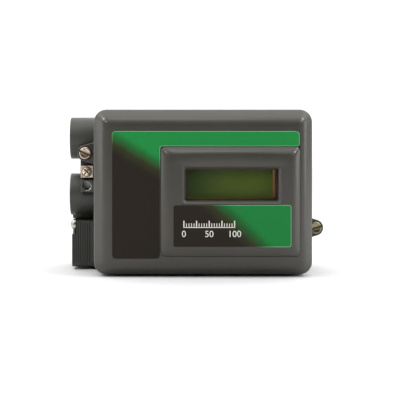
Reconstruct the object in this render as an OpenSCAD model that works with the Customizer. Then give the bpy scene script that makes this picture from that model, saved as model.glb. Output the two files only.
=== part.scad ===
// Valve positioner: cast housing, moulded front cover, converter, relay and electronics.
// X to the right, Z up, the front looks along -Y. The back mounting face lies on Y = 0.

/* [Cover] */
// width of the cover at its front edge
cover_w = 154; // [138:0.5:172]
// height of the cover at its front edge
cover_h = 116.4; // [104:0.2:130]
// depth of the cover from rim to face
cover_depth = 40; // [36:0.5:46]
// wall of the cover
cover_wall = 3.5; // [2.5:0.1:4.5]
// rounding of the front edge
edge_r = 8.8; // [7:0.1:12]
// how far the rim stands out past the front edge
draft = 0.8; // [0.4:0.1:1.5]
// thickness of the two ears
ear_t = 5.5; // [4.5:0.1:8]
// wall of the ear around its screw head
ear_edge = 0.9; // [0.6:0.1:3]
// height of the ear where it meets the cover
ear_root = 18; // [14:0.5:24]
// distance from the cover's side to the ear screw
ear_out = 7.6; // [7:0.1:11]
// height of the ear screw above or below the middle
ear_rise = 27.4; // [22:0.2:34]
// thickness of the cover gasket
gasket_t = 1.5; // [1:0.1:2.5]

/* [Display panel] */
// width of the raised panel at its foot
panel_w = 96.6; // [86:0.2:106]
// height of the raised panel at its foot
panel_h = 75.5; // [68:0.5:80]
// gap from the panel to the cover's right edge
panel_right = 10.3; // [9:0.1:14]
// gap from the panel to the cover's lower edge
panel_bottom = 14.2; // [12:0.1:18]
// how far the panel stands out
panel_rise = 4; // [2.5:0.1:5.5]
// width of the panel's sloped edge
panel_slope = 6; // [4:0.1:7.5]
// bow of the panel's upper and lower edges
panel_bow = 1.2; // [0.4:0.1:2]
// width of the window at the glass
window_w = 61.6; // [50:0.2:66]
// height of the window at the glass
window_h = 20.7; // [17:0.1:24]
// how far the window sits to the right of the panel's middle
window_shift = 0.8; // [-3:0.1:3]
// distance from the panel's upper foot to the window
window_top = 15.7; // [13:0.1:18]
// width of the sloped lip around the window
window_lip = 2.8; // [1.5:0.1:4]
// depth of the window below the panel's face
window_depth = 8; // [7:0.1:9]
// how far the pane reaches past the window on each side
pane_edge = 3; // [2:0.1:4]
// thickness of the window
window_t = 2; // [1.5:0.1:3]
// thickness of the window seal
window_seal_t = 0.6; // [0.4:0.1:1.2]
// thickness of both labels
label_t = 0.4; // [0.3:0.05:0.8]
// gap from the front label to the cover's left edge
label_left = 13; // [11:0.1:17]
// height of the front label's upper strip
strip_h = 10.4; // [8:0.1:11.5]
// gap between a label and the edges next to it
label_gap = 0.7; // [0.4:0.1:1.5]
// corner radius of the front label
label_r = 2.5; // [1:0.1:4]

/* [Housing] */
// depth of the housing
housing_depth = 52; // [48:0.5:58]
// thickness of the front flange
flange_t = 8; // [6:0.5:12]
// step from the flange to the body on the top and right
body_step = 3; // [1.5:0.5:4]
// width of the flange around the cavity
cavity_inset = 7; // [6:0.1:9]
// thickness of the back wall
floor_t = 8; // [7:0.5:10]
// thickness of the manifold behind the pneumatics
pad_t = 26; // [24:0.5:28]
// width of the wiring bay on the left
bay_w = 16.3; // [14:0.1:20]
// outside radius of a conduit boss
boss_r = 15.9; // [14:0.1:17]
// rounding of a conduit boss at its outer end
boss_edge = 0.8; // [0.4:0.1:3]
// distance of the web under the lower boss behind the front of the side block
web_in = 11; // [4:0.5:16]
// radius of a conduit entry
conduit_r = 9.25; // [7.5:0.05:11]
// how far a conduit boss reaches out from the flange's left edge
boss_out = 19.4; // [16:0.2:26]
// distance of the conduit axes from the back face
conduit_back = 30; // [27:0.5:33]
// gap from the top of the cover to the upper boss
boss_drop = 3.9; // [2:0.1:7]
// gap between the lower boss and the port block
boss_gap = 3.6; // [2:0.1:5]
// how far the side block reaches out from the flange's left edge
side_out = 12; // [10:0.1:15]
// depth of the side block from the back face
side_depth = 34; // [30:0.5:38]
// size of the two square earth pads
earth_pad = 9; // [8:0.1:10]
// distance from the flange's left edge to the earth screw
earth_out = 6.2; // [5:0.1:8]
// distance of the earth pad behind the flange's front
earth_back = 4; // [2.5:0.1:6]
// distance from the left ear screw down to the earth screw
earth_drop = 13.7; // [12:0.1:16]
// distance from the earth screw down to the tapped boss
earth_step = 10.8; // [10.2:0.1:13]
// radius of the tapped hole in the earth boss
bond_r = 2.5; // [2:0.1:3]
// depth of the tapped hole in the earth boss
bond_depth = 10; // [7:0.5:12]
// width of the slot in the back
slot_w = 20; // [14:0.5:24]
// depth of the slot in the back
slot_depth = 13; // [11:0.5:15]
// thickness of a pole piece beside the slot
pole_t = 3; // [2:0.1:5]
// height of a pole piece
pole_h = 44; // [30:0.5:50]
// depth of a pole piece
pole_d = 11; // [8:0.5:11]
// spacing of the rear bolts across
bolt_x = 76; // [70:0.5:84]
// spacing of the rear bolts up and down
bolt_z = 60; // [52:0.5:66]
// radius of a rear bolt hole
bolt_r = 3.4; // [2.5:0.05:4.5]
// depth of a rear bolt hole
bolt_depth = 14; // [10:0.5:15]
// wall around a rear bolt hole
bolt_wall = 4; // [3:0.1:6]
// radius of the vent
vent_r = 8; // [5:0.1:10]
// distance from the right inner wall to the vent
vent_in = 30.8; // [20:0.2:40]

/* [Port block] */
// how far the port block reaches out from its gasket
port_out = 16.3; // [15:0.1:20]
// height of the port block
port_h = 34.3; // [32:0.1:38]
// distance of the port block behind the flange's front
port_front = 2; // [1:0.1:5]
// distance of the port block from the back face
port_back = 8; // [7:0.5:11]
// distance of the port block above the foot of the housing
port_up = 1.4; // [0.5:0.1:3]
// rounding of the port block's lower edges
port_edge = 5; // [2:0.1:8]
// thickness of the port gasket
port_gasket_t = 1; // [0.8:0.1:2]
// radius of a pressure port
port_r = 5.55; // [4.5:0.05:6.5]
// depth of a pressure port
port_depth = 14; // [11:0.5:14.5]
// spacing of the two ports
port_gap = 16.5; // [15:0.1:18]
// distance of the ports from the back of the port block
port_in = 13; // [11:0.5:16]
// spacing of the fine flutes on the front
flute_gap = 1.7; // [1.4:0.1:2.5]
// width of a fine flute
flute_w = 0.8; // [0.4:0.05:1]
// depth of a fine flute
flute_depth = 0.6; // [0.2:0.05:0.8]
// head radius of the port block's screws
dome_r = 4.5; // [4:0.1:5.5]
// distance of the upper screw from the front of the port block
dome_in = 6.5; // [6:0.1:8]
// distance of the upper screw below the top of the port block
dome_drop = 2.9; // [2.8:0.1:4]
// depth of the upper screw's seat
dome_sink = 2.6; // [1.5:0.1:3]
// gap between the upper screw's head and the notch it sits in
dome_gap = 2.2; // [0.6:0.1:3]
// shank radius of the port block's screws
tie_r = 2; // [1.6:0.1:2.2]
// distance of the lower screw from the front of the port block
tie_in = 10; // [8:0.5:12]
// distance of the lower screw above the foot of the port block
tie_up = 6; // [6:0.1:8]
// length of the port block's screws in the housing
port_grip = 8; // [7:0.5:12]

/* [Fasteners] */
// shank radius of a cover screw
screw_r = 2.5; // [2:0.1:2.7]
// head radius of a cover screw
head_r = 4.6; // [4.2:0.05:5.2]
// head height of a cover screw
head_h = 3.2; // [2.6:0.1:4]
// depth of the seat that the cover screw's head sits in
head_sink = 1.5; // [0.8:0.1:2]
// gap around the cover screw's head
head_gap = 0.5; // [0.3:0.05:0.8]
// width of the slot in a cover screw
slot_cut = 1.3; // [0.8:0.05:1.6]
// length of a cover screw in the lug
screw_grip = 12; // [8:0.5:14]
// shank radius of the earth screw
earth_r = 2; // [1.5:0.1:2.4]
// head radius of the earth screw
earth_head_r = 3.4; // [2.8:0.1:3.8]
// thickness of the earth clamp
clamp_t = 1.2; // [0.8:0.1:2]
// shank radius of the small screws
small_r = 1.5; // [1.2:0.05:1.7]
// head radius of the small screws
small_head_r = 2.7; // [2.3:0.05:3]
// head height of the small screws
small_head_h = 2; // [1.5:0.1:2.5]
// depth of a tapped hole for the small screws
tap_depth = 8; // [7.5:0.5:10]
// running gap around turning and sliding parts
run_gap = 0.05; // [0.03:0.01:0.08]
// gap between parts that don't touch
clear_gap = 0.3; // [0.2:0.05:0.4]

/* [Electronics] */
// thickness of both boards
board_t = 1.6; // [1:0.1:2.4]
// gap between the relay and the boards
board_gap = 3.5; // [2:0.1:6]
// gap from the boards to the right inner wall
board_edge = 2.8; // [1.5:0.1:5]
// gap from the boards to the inner wall above and below
board_margin = 6; // [4:0.5:9]
// height of the standoffs under the main board
standoff_h = 10; // [9:0.5:12]
// radius of the hexagonal standoffs
hex_r = 3.2; // [2.6:0.1:3.8]
// width of the main chip
chip_w = 14; // [8:0.5:18]
// height of the chips
chip_t = 1.6; // [1:0.1:2.5]
// radius of the two cans
can_r = 4; // [3:0.1:5]
// height of the two cans
can_h = 10; // [6:0.5:14]
// width of the ribbon cable
ribbon_w = 20; // [12:0.5:30]
// thickness of the ribbon cable
ribbon_t = 0.8; // [0.6:0.1:1.2]
// height of a ribbon socket
socket_h = 5; // [3:0.1:7]
// distance from the right edge of the boards to the ribbon
ribbon_in = 17; // [12:0.5:22]
// depth of the display frame
lcd_depth = 7; // [6:0.1:9]
// margin of the display frame around the window
lcd_margin = 7; // [4:0.1:7.5]
// gap between the window and the display frame
lcd_gap = 1.5; // [1:0.1:3]
// thickness of the display glass
lcd_t = 2.4; // [1.5:0.1:3]
// radius of a push button
button_r = 3.5; // [2.5:0.1:4.5]
// radius of a push button's stem
stem_r = 1.6; // [1:0.1:2]
// spacing of the push buttons
button_gap = 16; // [12:0.5:17]
// travel of a push button
button_travel = 0.9; // [0.4:0.05:1.4]
// distance from the window down to the push buttons
button_drop = 24; // [20:0.5:26]
// width of a switch body
switch_w = 9; // [7:0.1:10]
// height of a switch body
switch_h = 3.5; // [2.5:0.1:4.5]
// distance from the last push button to the mode switch
mode_gap = 12.8; // [11:0.1:14]
// width of the mode switch
mode_w = 11; // [9:0.1:12]
// travel of the mode switch
mode_travel = 3; // [2:0.1:4]
// spacing of the wiring terminals
terminal_pitch = 7; // [5:0.1:8]
// height of the terminal block
terminal_h = 19; // [15:0.5:24]
// head radius of a terminal screw
terminal_head_r = 2.5; // [1.8:0.1:2.7]
// radius of the pressure sensor
sensor_r = 4.4; // [3:0.1:4.8]
// height of the pressure sensor above the lower standoffs
sensor_up = 16; // [10:0.5:24]
// width of the position sensor
hall_w = 10; // [6:0.1:14]
// height of the position sensor
hall_h = 14; // [8:0.1:20]
// thickness of the position sensor
hall_t = 2.4; // [1.5:0.1:3.5]

/* [Converter and relay] */
// gap above the converter
ip_drop = 8; // [6:0.5:10]
// width of the converter base
ip_w = 30; // [26:0.5:33]
// height of the converter base
ip_h = 40; // [36:0.5:44]
// thickness of the converter base
ip_t = 8; // [6:0.5:9]
// radius of the coil flanges
coil_r = 9; // [7:0.1:9.5]
// length of the coil
coil_l = 9.4; // [7:0.1:11]
// radius of the core inside the coil
core_r = 3; // [2:0.1:4]
// distance from the pivot to the coil and to the nozzle
coil_up = 11; // [10:0.1:12]
// width of the yoke across its arms
yoke_w = 21; // [18:0.1:24]
// thickness of a yoke arm
arm_t = 2; // [1.5:0.1:3]
// thickness of the flapper
flap_t = 1.2; // [0.8:0.1:1.8]
// width of the flapper
flap_w = 8; // [5:0.1:11]
// how far the flapper reaches past the coil and the nozzle
flap_end = 4; // [3:0.1:5]
// radius of the nozzle's flange
nozzle_r = 3.4; // [2.8:0.1:4]
// thickness of the nozzle's flange
nozzle_t = 3; // [2:0.1:4]
// distance of the converter's screws from its edges
ip_inset = 3; // [2.8:0.1:4]
// radius of the pivot pin
pivot_r = 1; // [0.8:0.05:1.4]
// gap between nozzle and flapper
nozzle_gap = 0.3; // [0.25:0.01:0.5]
// gap between the converter and the relay
stack_gap = 9.5; // [6:0.1:11]
// width of the relay
relay_w = 33; // [29:0.1:36]
// thickness of the relay base
relay_base_t = 11; // [10:0.5:13]
// thickness of the relay spacer
relay_spacer_t = 8; // [6:0.5:10]
// thickness of the relay cap
relay_cap_t = 8.6; // [7:0.1:11]
// radius of the relay's larger plate
plate_r = 9.5; // [8:0.1:10]
// thickness of the relay's plates
plate_t = 1; // [0.6:0.1:1.4]
// thickness of the diaphragms and pneumatic gaskets
sheet_t = 0.8; // [0.5:0.1:1.2]
// travel of the relay stem
relay_travel = 0.5; // [0.3:0.05:0.8]
// radius of the main air passages
air_r = 1.8; // [1.2:0.1:2.2]

/* [Hidden] */
$fn = 64;
y_flange = -housing_depth;
y_rim = y_flange - gasket_t;
y_face = y_rim - cover_depth;
y_panel = y_face - panel_rise;
y_seat = y_panel + window_depth;
rim_x = cover_w / 2 + draft;
rim_z = cover_h / 2 + draft;
rim_r = edge_r + draft;
cavity_x = rim_x - cavity_inset;
cavity_z = rim_z - cavity_inset;
ear_x = rim_x - draft + ear_out;
ear_r = head_r + head_gap + ear_edge;
y_ear = y_rim - ear_t;
y_head = y_ear + head_sink;

panel_x1 = cover_w / 2 - panel_right;
panel_x0 = panel_x1 - panel_w;
panel_z0 = -cover_h / 2 + panel_bottom;
panel_z1 = panel_z0 + panel_h;
window_cx = (panel_x0 + panel_x1) / 2 + window_shift;
window_x0 = window_cx - window_w / 2;
window_x1 = window_cx + window_w / 2;
window_z1 = panel_z1 - window_top;
window_z0 = window_z1 - window_h;
y_pane = y_seat + window_seal_t;
y_lcd = y_pane + window_t + lcd_gap;
y_display = y_lcd + lcd_depth;

left_x = -rim_x;
boss_x = left_x - boss_out;
boss_root = left_x + boss_edge + 2.5;
side_x = left_x - side_out;
y_side = -side_depth;

port_x1 = left_x - port_gasket_t;
port_x0 = port_x1 - port_out;
port_z0 = -rim_z + port_up;
port_z1 = port_z0 + port_h;
port_y1 = -port_back;
port_y0 = y_flange + port_front;
port_d = port_y1 - port_y0;
port_y = port_y1 - port_in;
port_mid = port_z0 + port_h / 2;
port_low = port_mid - port_gap / 2;
port_high = port_mid + port_gap / 2;
dome_y = port_y0 + dome_in;
dome_z = port_z1 - dome_drop;
dome_x = port_x0 + dome_sink;
tie_y = port_y0 + tie_in;
tie_z = port_z0 + tie_up;
screen_t = port_gasket_t * 1.2;
screen_r = port_r - 1.3;
screen_x = port_x0 + port_depth;
flute_count = floor((port_out - flute_gap) / flute_gap);
port_bolts = [[dome_y, dome_z], [tie_y, tie_z]];

conduit_high = rim_z - boss_drop - boss_r;
conduit_low = port_z1 + boss_gap + boss_r;
earth_x = left_x - earth_out;
y_earth = y_flange + earth_back;
y_bond = y_earth - earth_back / 2;
earth_high = ear_rise - earth_drop;
earth_low = earth_high - earth_step;
clamp_half = earth_pad / 2 - 0.1;

y_pad = -pad_t;
y_main = y_pad - standoff_h;
relay_x = -cavity_x + bay_w + relay_w / 2;
ip_x = relay_x;
pad_x0 = -cavity_x + bay_w - 1.5;
pad_x1 = slot_w / 2 + pole_t + bolt_wall;
board_x0 = relay_x + relay_w / 2 + board_gap;
board_x1 = cavity_x - board_edge;
board_w = board_x1 - board_x0;
board_h = 2 * (cavity_z - board_margin);
board_cx = (board_x0 + board_x1) / 2;
post_dx = board_w / 2 - 1.4 * hex_r;
post_dz = board_h / 2 - 1.25 * hex_r;
ribbon_x = board_x1 - ribbon_in;
button_z = window_z0 - button_drop;
y_switch = y_display - switch_h;
y_button = y_switch - button_travel - clear_gap;
mode_x = window_cx + 1.5 * button_gap + mode_gap;
terminal_x = -cavity_x + clear_gap;
terminal_w = pad_x0 - terminal_x - 6 * clear_gap;
terminal_z = (conduit_high + conduit_low) / 2;
terminal_rows = [terminal_z - terminal_pitch, terminal_z, terminal_z + terminal_pitch];
y_terminal = -floor_t - terminal_h;
y_clamp = y_terminal + terminal_h / 4;
inner_x = (pad_x0 - cavity_x) / 2;
vent_x = cavity_x - vent_in;
vent_y = -(housing_depth + floor_t) / 2;

ip_z = cavity_z - ip_drop - ip_h / 2;
y_ip = y_pad - sheet_t;
y_ip_face = y_ip - ip_t;
y_strip = y_ip_face - arm_t;
y_coil = y_strip - clear_gap;
y_flap = y_coil - coil_l - 2.3;
y_pivot = y_flap - flap_t / 2;

relay_z = ip_z - ip_h / 2 - stack_gap - relay_w / 2;
relay_hole = relay_w / 2 - small_head_r - 0.6;
chamber_r = plate_r + 1.5;
y_rb = y_pad - sheet_t;
y_rd = y_rb - relay_base_t;
y_rs = y_rd - sheet_t;
y_ru = y_rs - relay_spacer_t;
y_rc = y_ru - sheet_t;
y_rt = y_rc - relay_cap_t;
y_valve_seat = y_rd + 2.8 + plate_t;

supply_y = y_pad + 6.5;
supply_z = port_high + 2.2;
output_y = y_pad + 4;
sensor_x = board_x0 + sensor_r + 0.6;
sensor_z = -post_dz + sensor_up;

// flat outline with rounded corners
module round_rect(x0, x1, z0, z1, r) {
  translate([x0 + r, z0]) square([x1 - x0 - 2 * r, z1 - z0]);
  translate([x0, z0 + r]) square([x1 - x0, z1 - z0 - 2 * r]);
  for (x = [x0 + r, x1 - r])
    for (z = [z0 + r, z1 - r])
      translate([x, z]) circle(r);
}

// outline in X and Z drawn out along Y
module along_y(y0, y1) {
  translate([0, y1, 0]) rotate([90, 0, 0]) linear_extrude(y1 - y0) children();
}

// outline in Y and Z drawn out along X
module along_x(x0, x1) {
  translate([x0, 0, 0]) rotate([90, 0, 90]) linear_extrude(x1 - x0) children();
}

module rod_x(y, z, x0, x1, r) {
  translate([x0, y, z]) rotate([0, 90, 0]) cylinder(h = x1 - x0, r = r);
}

module rod_y(x, z, y0, y1, r) {
  translate([x, y1, z]) rotate([90, 0, 0]) cylinder(h = y1 - y0, r = r);
}

module rod_z(x, y, z0, z1, r) {
  translate([x, y, z0]) cylinder(h = z1 - z0, r = r);
}

module block(x0, x1, y0, y1, z0, z1) {
  translate([x0, y0, z0]) cube([x1 - x0, y1 - y0, z1 - z0]);
}

// places children at the four board posts
module at_posts() {
  for (sx = [-1, 1])
    for (sz = [-1, 1])
      translate([board_cx + sx * post_dx, 0, sz * post_dz]) children();
}

// places children at the corners of a pattern centred on x and z
module at_corners(x, z, dx, dz) {
  for (sx = [-1, 1])
    for (sz = [-1, 1])
      translate([x + sx * dx, 0, z + sz * dz]) children();
}

// pan head screw along Y, seat at y, shank running back
module small_screw(y, shank) {
  difference() {
    union() {
      translate([0, y, 0]) rotate([90, 0, 0]) rotate_extrude()
        polygon([[0, 0], [small_head_r, 0], [small_head_r, small_head_h * 0.6],
          [small_head_r - 0.7, small_head_h], [0, small_head_h]]);
      rod_y(0, 0, y - 0.1, y + shank, small_r);
    }
    translate([-0.4, y - small_head_h - 1, -small_head_r - 1])
      cube([0.8, 1.9, 2 * small_head_r + 2]);
  }
}

// conduit boss with a rounded outer end
module conduit_boss(z) {
  length = boss_root - boss_x;
  translate([boss_root, -conduit_back, z]) rotate([0, -90, 0]) rotate_extrude()
    polygon(concat([[0, 0], [boss_r, 0]],
      [for (a = [0 : 30 : 90])
        [boss_r - boss_edge * (1 - cos(a)), length - boss_edge * (1 - sin(a))]],
      [[0, length]]));
}

// castings before boring
module casting() {
  difference() {
    union() {
      along_y(y_flange, y_flange + flange_t) round_rect(-rim_x, rim_x, -rim_z, rim_z, rim_r);
      along_y(y_flange + 1, 0)
        round_rect(-rim_x, rim_x - body_step, -rim_z, rim_z - body_step, rim_r);
      block(side_x, left_x + 4, y_side, -floor_t, conduit_low - boss_r * 0.75,
        conduit_high + boss_r * 0.56);
      conduit_boss(conduit_high);
      conduit_boss(conduit_low);
      block(left_x, left_x + rim_r, port_y0, port_y1, port_z0, port_z1);
      block(boss_x + boss_edge, left_x + 4, y_side + web_in, -floor_t, port_z1 + clear_gap, conduit_low);
      for (s = [-1, 1]) {
        rod_y(s * ear_x, -s * ear_rise, y_flange, y_side, ear_r);
        block(min(s * ear_x, s * (rim_x - 4)), max(s * ear_x, s * (rim_x - 4)),
          y_flange, y_side, -s * ear_rise - ear_r, -s * ear_rise + ear_r);
      }
      block(earth_x - earth_pad / 2, earth_x + earth_pad / 2 + 3, y_earth, y_side + 4,
        earth_high - earth_pad / 2, earth_high + earth_pad / 2);
      block(earth_x - earth_pad / 2, earth_x + earth_pad / 2 + 3, y_bond, y_side + 4,
        earth_low - earth_pad / 2, earth_low + earth_pad / 2);
    }
    along_y(y_flange - 1, -floor_t)
      round_rect(-cavity_x, cavity_x, -cavity_z, cavity_z, 5);
  }
}

// everything that stands up from the back wall inside
module inner_pads() {
  block(pad_x0, pad_x1, y_pad, -1, -cavity_z - 1, cavity_z + 1);
  block(-cavity_x - 1, pad_x0 + 1, y_pad, -1, -cavity_z - 1, port_z1 - 1);
  for (s = [-1, 1])
    rod_y(bolt_x / 2, s * bolt_z / 2, -bolt_depth - 3, -1, bolt_r + bolt_wall);
  for (s = [-1, 1])
    rod_y(board_cx + post_dx, s * post_dz, y_pad, -1, hex_r + 1.3);
  for (p = port_bolts)
    rod_x(p[0], p[1], -cavity_x - 1, left_x + port_grip + 4, tie_r + 2.5);
}

// air passages from the ports to the converter, relay and sensor
module passages() {
  rod_x(supply_y, supply_z, left_x - 1, relay_x, air_r);
  rod_z(relay_x, supply_y, min(supply_z, relay_z), ip_z - coil_up, air_r);
  rod_y(relay_x, relay_z, y_pad - 1, supply_y, air_r);
  rod_y(ip_x, ip_z - coil_up, y_pad - 1, supply_y, air_r);
  rod_x(output_y, port_low, left_x - 1, sensor_x, air_r);
  rod_z(relay_x - plate_r + 1.5, output_y - 1.6, port_low, relay_z, 1);
  rod_y(relay_x - plate_r + 1.5, relay_z, y_pad - 1, output_y - 1.6, 1);
  rod_z(sensor_x, output_y, port_low, sensor_z, 1.2);
  rod_y(sensor_x, sensor_z, y_pad - 1, output_y, 1.2);
}

module housing() color("#6b6b66") difference() {
  union() {
    casting();
    inner_pads();
  }
  for (z = [conduit_high, conduit_low])
    rod_x(-conduit_back, z, boss_x - 1, -cavity_x + 1, conduit_r);
  for (s = [-1, 1])
    rod_y(s * ear_x, -s * ear_rise, y_flange - 1, y_flange + screw_grip + 1, screw_r + run_gap);
  rod_y(earth_x, earth_high, y_earth - 1, y_earth + bond_depth + 1, earth_r + run_gap);
  rod_y(earth_x, earth_low, y_bond - 1, y_bond + bond_depth, bond_r);
  block(-slot_w / 2, slot_w / 2, -slot_depth, 1, -rim_z - 1, rim_z + 1);
  block(-slot_w / 2 - pole_t - 0.1, slot_w / 2 + pole_t + 0.1, -pole_d - 0.1, 1,
    -pole_h / 2 - 0.1, pole_h / 2 + 0.1);
  block(-hall_w / 2 - 0.1, hall_w / 2 + 0.1, -slot_depth - hall_t, 1, -hall_h / 2 - 0.1,
    hall_h / 2 + 0.1);
  at_corners(0, 0, bolt_x / 2, bolt_z / 2) rod_y(0, 0, -bolt_depth, 1, bolt_r);
  rod_z(vent_x, vent_y, -rim_z - 1, -cavity_z + 1, vent_r);
  at_posts() rod_y(0, 0, y_pad - 1, y_pad + tap_depth, small_r + run_gap);
  at_corners(ip_x, ip_z, ip_w / 2 - ip_inset, ip_h / 2 - ip_inset)
    rod_y(0, 0, y_pad - 1, y_pad + tap_depth, small_r + run_gap);
  at_corners(relay_x, relay_z, relay_hole, relay_hole)
    rod_y(0, 0, y_pad - 1, y_pad + tap_depth, small_r + run_gap);
  rod_y(inner_x, port_mid, y_pad - 1, y_pad + tap_depth, small_r + run_gap);
  for (p = port_bolts)
    rod_x(p[0], p[1], left_x - 1, left_x + port_grip + 1, tie_r + run_gap);
  passages();
}

// cover form drawn in by the given wall
module cover_form(wall) {
  hull() {
    along_y(y_rim - 4, y_rim + (wall > 0 ? 1 : 0))
      round_rect(-rim_x + wall, rim_x - wall, -rim_z + wall, rim_z - wall, rim_r - wall);
    for (sx = [-1, 1])
      for (sz = [-1, 1])
        translate([sx * (cover_w / 2 - edge_r), y_face + edge_r, sz * (cover_h / 2 - edge_r)])
          sphere(r = edge_r - wall, $fn = 48);
    along_y(y_face + wall, y_face + wall + 0.5)
      translate([-cover_w / 2 + edge_r, -cover_h / 2 + edge_r])
        square([cover_w - 2 * edge_r, cover_h - 2 * edge_r]);
  }
}

// curve of the panel's upper or lower edge
function bow_points(x0, x1, z, bow) =
  [for (i = [0 : 16]) [x0 + (x1 - x0) * i / 16, z + bow * (1 - pow(i / 8 - 1, 2))]];

module panel_form() {
  mid = panel_slope * 0.84;
  hull() {
    along_y(y_face, y_face + 1)
      round_rect(panel_x0, panel_x1, panel_z0, panel_z1, 2.5);
    along_y(y_panel + 0.6, y_panel + 0.7) {
      round_rect(panel_x0 + mid, panel_x1 - mid, panel_z0 + mid, panel_z1 - mid, 2);
      polygon(concat(bow_points(panel_x0 + mid + 2, panel_x1 - mid - 2, panel_z1 - mid, panel_bow),
        bow_points(panel_x1 - mid - 2, panel_x0 + mid + 2, panel_z0 + mid, -panel_bow * 0.5)));
    }
    along_y(y_panel, y_panel + 0.2) {
      round_rect(panel_x0 + panel_slope, panel_x1 - panel_slope,
        panel_z0 + panel_slope, panel_z1 - panel_slope, 1.5);
      polygon(concat(
        bow_points(panel_x0 + panel_slope + 2, panel_x1 - panel_slope - 2,
          panel_z1 - panel_slope, panel_bow),
        bow_points(panel_x1 - panel_slope - 2, panel_x0 + panel_slope + 2,
          panel_z0 + panel_slope, -panel_bow * 0.5)));
    }
  }
}

// sloped lip, then straight walls down to the glass
module window_funnel() {
  hull() {
    block(window_x0 - window_lip, window_x1 + window_lip, y_panel - 1, y_panel,
      window_z0 - window_lip, window_z1 + window_lip);
    block(window_x0 + 0.5, window_x1 - 0.5, y_panel + window_lip, y_panel + window_lip + 0.5,
      window_z0 + 0.5, window_z1 - 0.5);
  }
  block(window_x0, window_x1, y_panel - 0.5, y_seat + 1, window_z0, window_z1);
}

module ear() {
  along_y(y_ear, y_rim) hull() {
    translate([ear_x, -ear_rise]) circle(ear_r, $fn = 48);
    translate([rim_x - 3, -ear_rise - ear_root / 2]) square([2, ear_root]);
  }
}

module front_cover() color("#4d4e49") difference() {
  union() {
    difference() {
      union() {
        cover_form(0);
        panel_form();
      }
      cover_form(cover_wall);
      block(panel_x0 + panel_slope + 4, panel_x1 - panel_slope - 4, y_panel + cover_wall,
        y_face + cover_wall + 1, panel_z0 + panel_slope + 3, window_z0 - window_lip - 4);
    }
    difference() {
      block(window_x0 - pane_edge - 2, window_x1 + pane_edge + 2, y_face + 1, y_pane + window_t,
        window_z0 - pane_edge - 2, window_z1 + pane_edge + 2);
      block(window_x0 - pane_edge, window_x1 + pane_edge, y_seat, y_pane + window_t + 1,
        window_z0 - pane_edge, window_z1 + pane_edge);
    }
    difference() {
      for (a = [0, 180])
        rotate([0, a, 0]) ear();
      along_y(y_ear - 1, y_rim + 1)
        round_rect(-rim_x + cover_wall, rim_x - cover_wall, -rim_z + cover_wall,
          rim_z - cover_wall, rim_r - cover_wall);
    }
  }
  window_funnel();
  for (s = [-1, 1]) {
    rod_y(s * ear_x, -s * ear_rise, y_ear - 1, y_rim + 1, screw_r + clear_gap);
    rod_y(s * ear_x, -s * ear_rise, y_ear - 1, y_head, head_r + head_gap);
    rod_y(s * ear_x, -s * ear_rise, y_rim - 1.2, y_rim + 1, screw_r + 2);
  }
  along_y(y_face - 1, y_face + label_t) label_outline(clear_gap);
  along_y(y_panel - 1, y_panel + label_t) plate_outline(clear_gap);
}

module cover_gasket() color("#1c1c1c") along_y(y_rim, y_flange) difference() {
  round_rect(-rim_x + 0.4, rim_x - 0.4, -rim_z + 0.4, rim_z - 0.4, rim_r - 0.4);
  round_rect(-rim_x + cover_wall, rim_x - cover_wall, -rim_z + cover_wall, rim_z - cover_wall,
    rim_r - cover_wall);
}

// front label: a strip over the panel and a column to its left
module label_outline(grow) {
  x0 = -cover_w / 2 + label_left - grow;
  x1 = panel_x1 - clear_gap + grow;
  z0 = panel_z1 + label_gap;
  z1 = z0 + strip_h + grow;
  round_rect(x0, x1, z0 - grow, z1, label_r);
  round_rect(x0, panel_x0 - label_gap + grow, panel_z0 - 3 * label_gap - grow, z1, label_r);
}

module front_label() color("#29894a")
  along_y(y_face, y_face + label_t) label_outline(0);

module plate_outline(grow) {
  round_rect(panel_x0 + panel_slope + 2.4 - grow, panel_x1 - panel_slope - label_gap + grow,
    panel_z0 + panel_slope + 0.4 - grow, window_z0 - window_lip - label_gap - 0.2 + grow, 1.4);
}

module display_label() color("#26664a")
  along_y(y_panel, y_panel + label_t) plate_outline(0);

module display_window() color("#9aa58c")
  block(window_x0 - pane_edge + 0.1, window_x1 + pane_edge - 0.1, y_pane, y_pane + window_t,
    window_z0 - pane_edge + 0.1, window_z1 + pane_edge - 0.1);

module window_seal() color("#202020") difference() {
  block(window_x0 - pane_edge + 0.1, window_x1 + pane_edge - 0.1, y_seat, y_pane,
    window_z0 - pane_edge + 0.1, window_z1 + pane_edge - 0.1);
  block(window_x0, window_x1, y_seat - 1, y_pane + 1, window_z0, window_z1);
}

// slotted cover screw with its slot turned by the given angle
module cover_screw(angle) {
  difference() {
    union() {
      translate([0, y_head, 0]) rotate([90, 0, 0]) rotate_extrude()
        polygon([[0, 0], [head_r, 0], [head_r, head_h - 0.7], [head_r - 0.3, head_h - 0.25],
          [head_r - 0.8, head_h], [0, head_h]]);
      rod_y(0, 0, y_head - 0.1, y_flange + screw_grip, screw_r);
    }
    rotate([0, angle, 0]) translate([-head_r - 1, y_head - head_h - 1, -slot_cut / 2])
      cube([2 * head_r + 2, 1 + head_h / 2, slot_cut]);
  }
}

module cover_screw_left() color("#a59c80")
  translate([-ear_x, 0, ear_rise]) cover_screw(28);

module cover_screw_right() color("#a59c80")
  translate([ear_x, 0, -ear_rise]) cover_screw(-18);

module screw_clip() {
  difference() {
    rod_y(0, 0, y_rim - 0.9, y_rim - 0.1, screw_r + 1.5);
    rod_y(0, 0, y_rim - 2, y_rim + 1, screw_r + run_gap);
    block(-1.1, 1.1, y_rim - 2, y_rim + 1, 0, screw_r + 3);
  }
}

module screw_clip_left() color("#8a8a86")
  translate([-ear_x, 0, ear_rise]) screw_clip();

module screw_clip_right() color("#8a8a86")
  translate([ear_x, 0, -ear_rise]) screw_clip();

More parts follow.
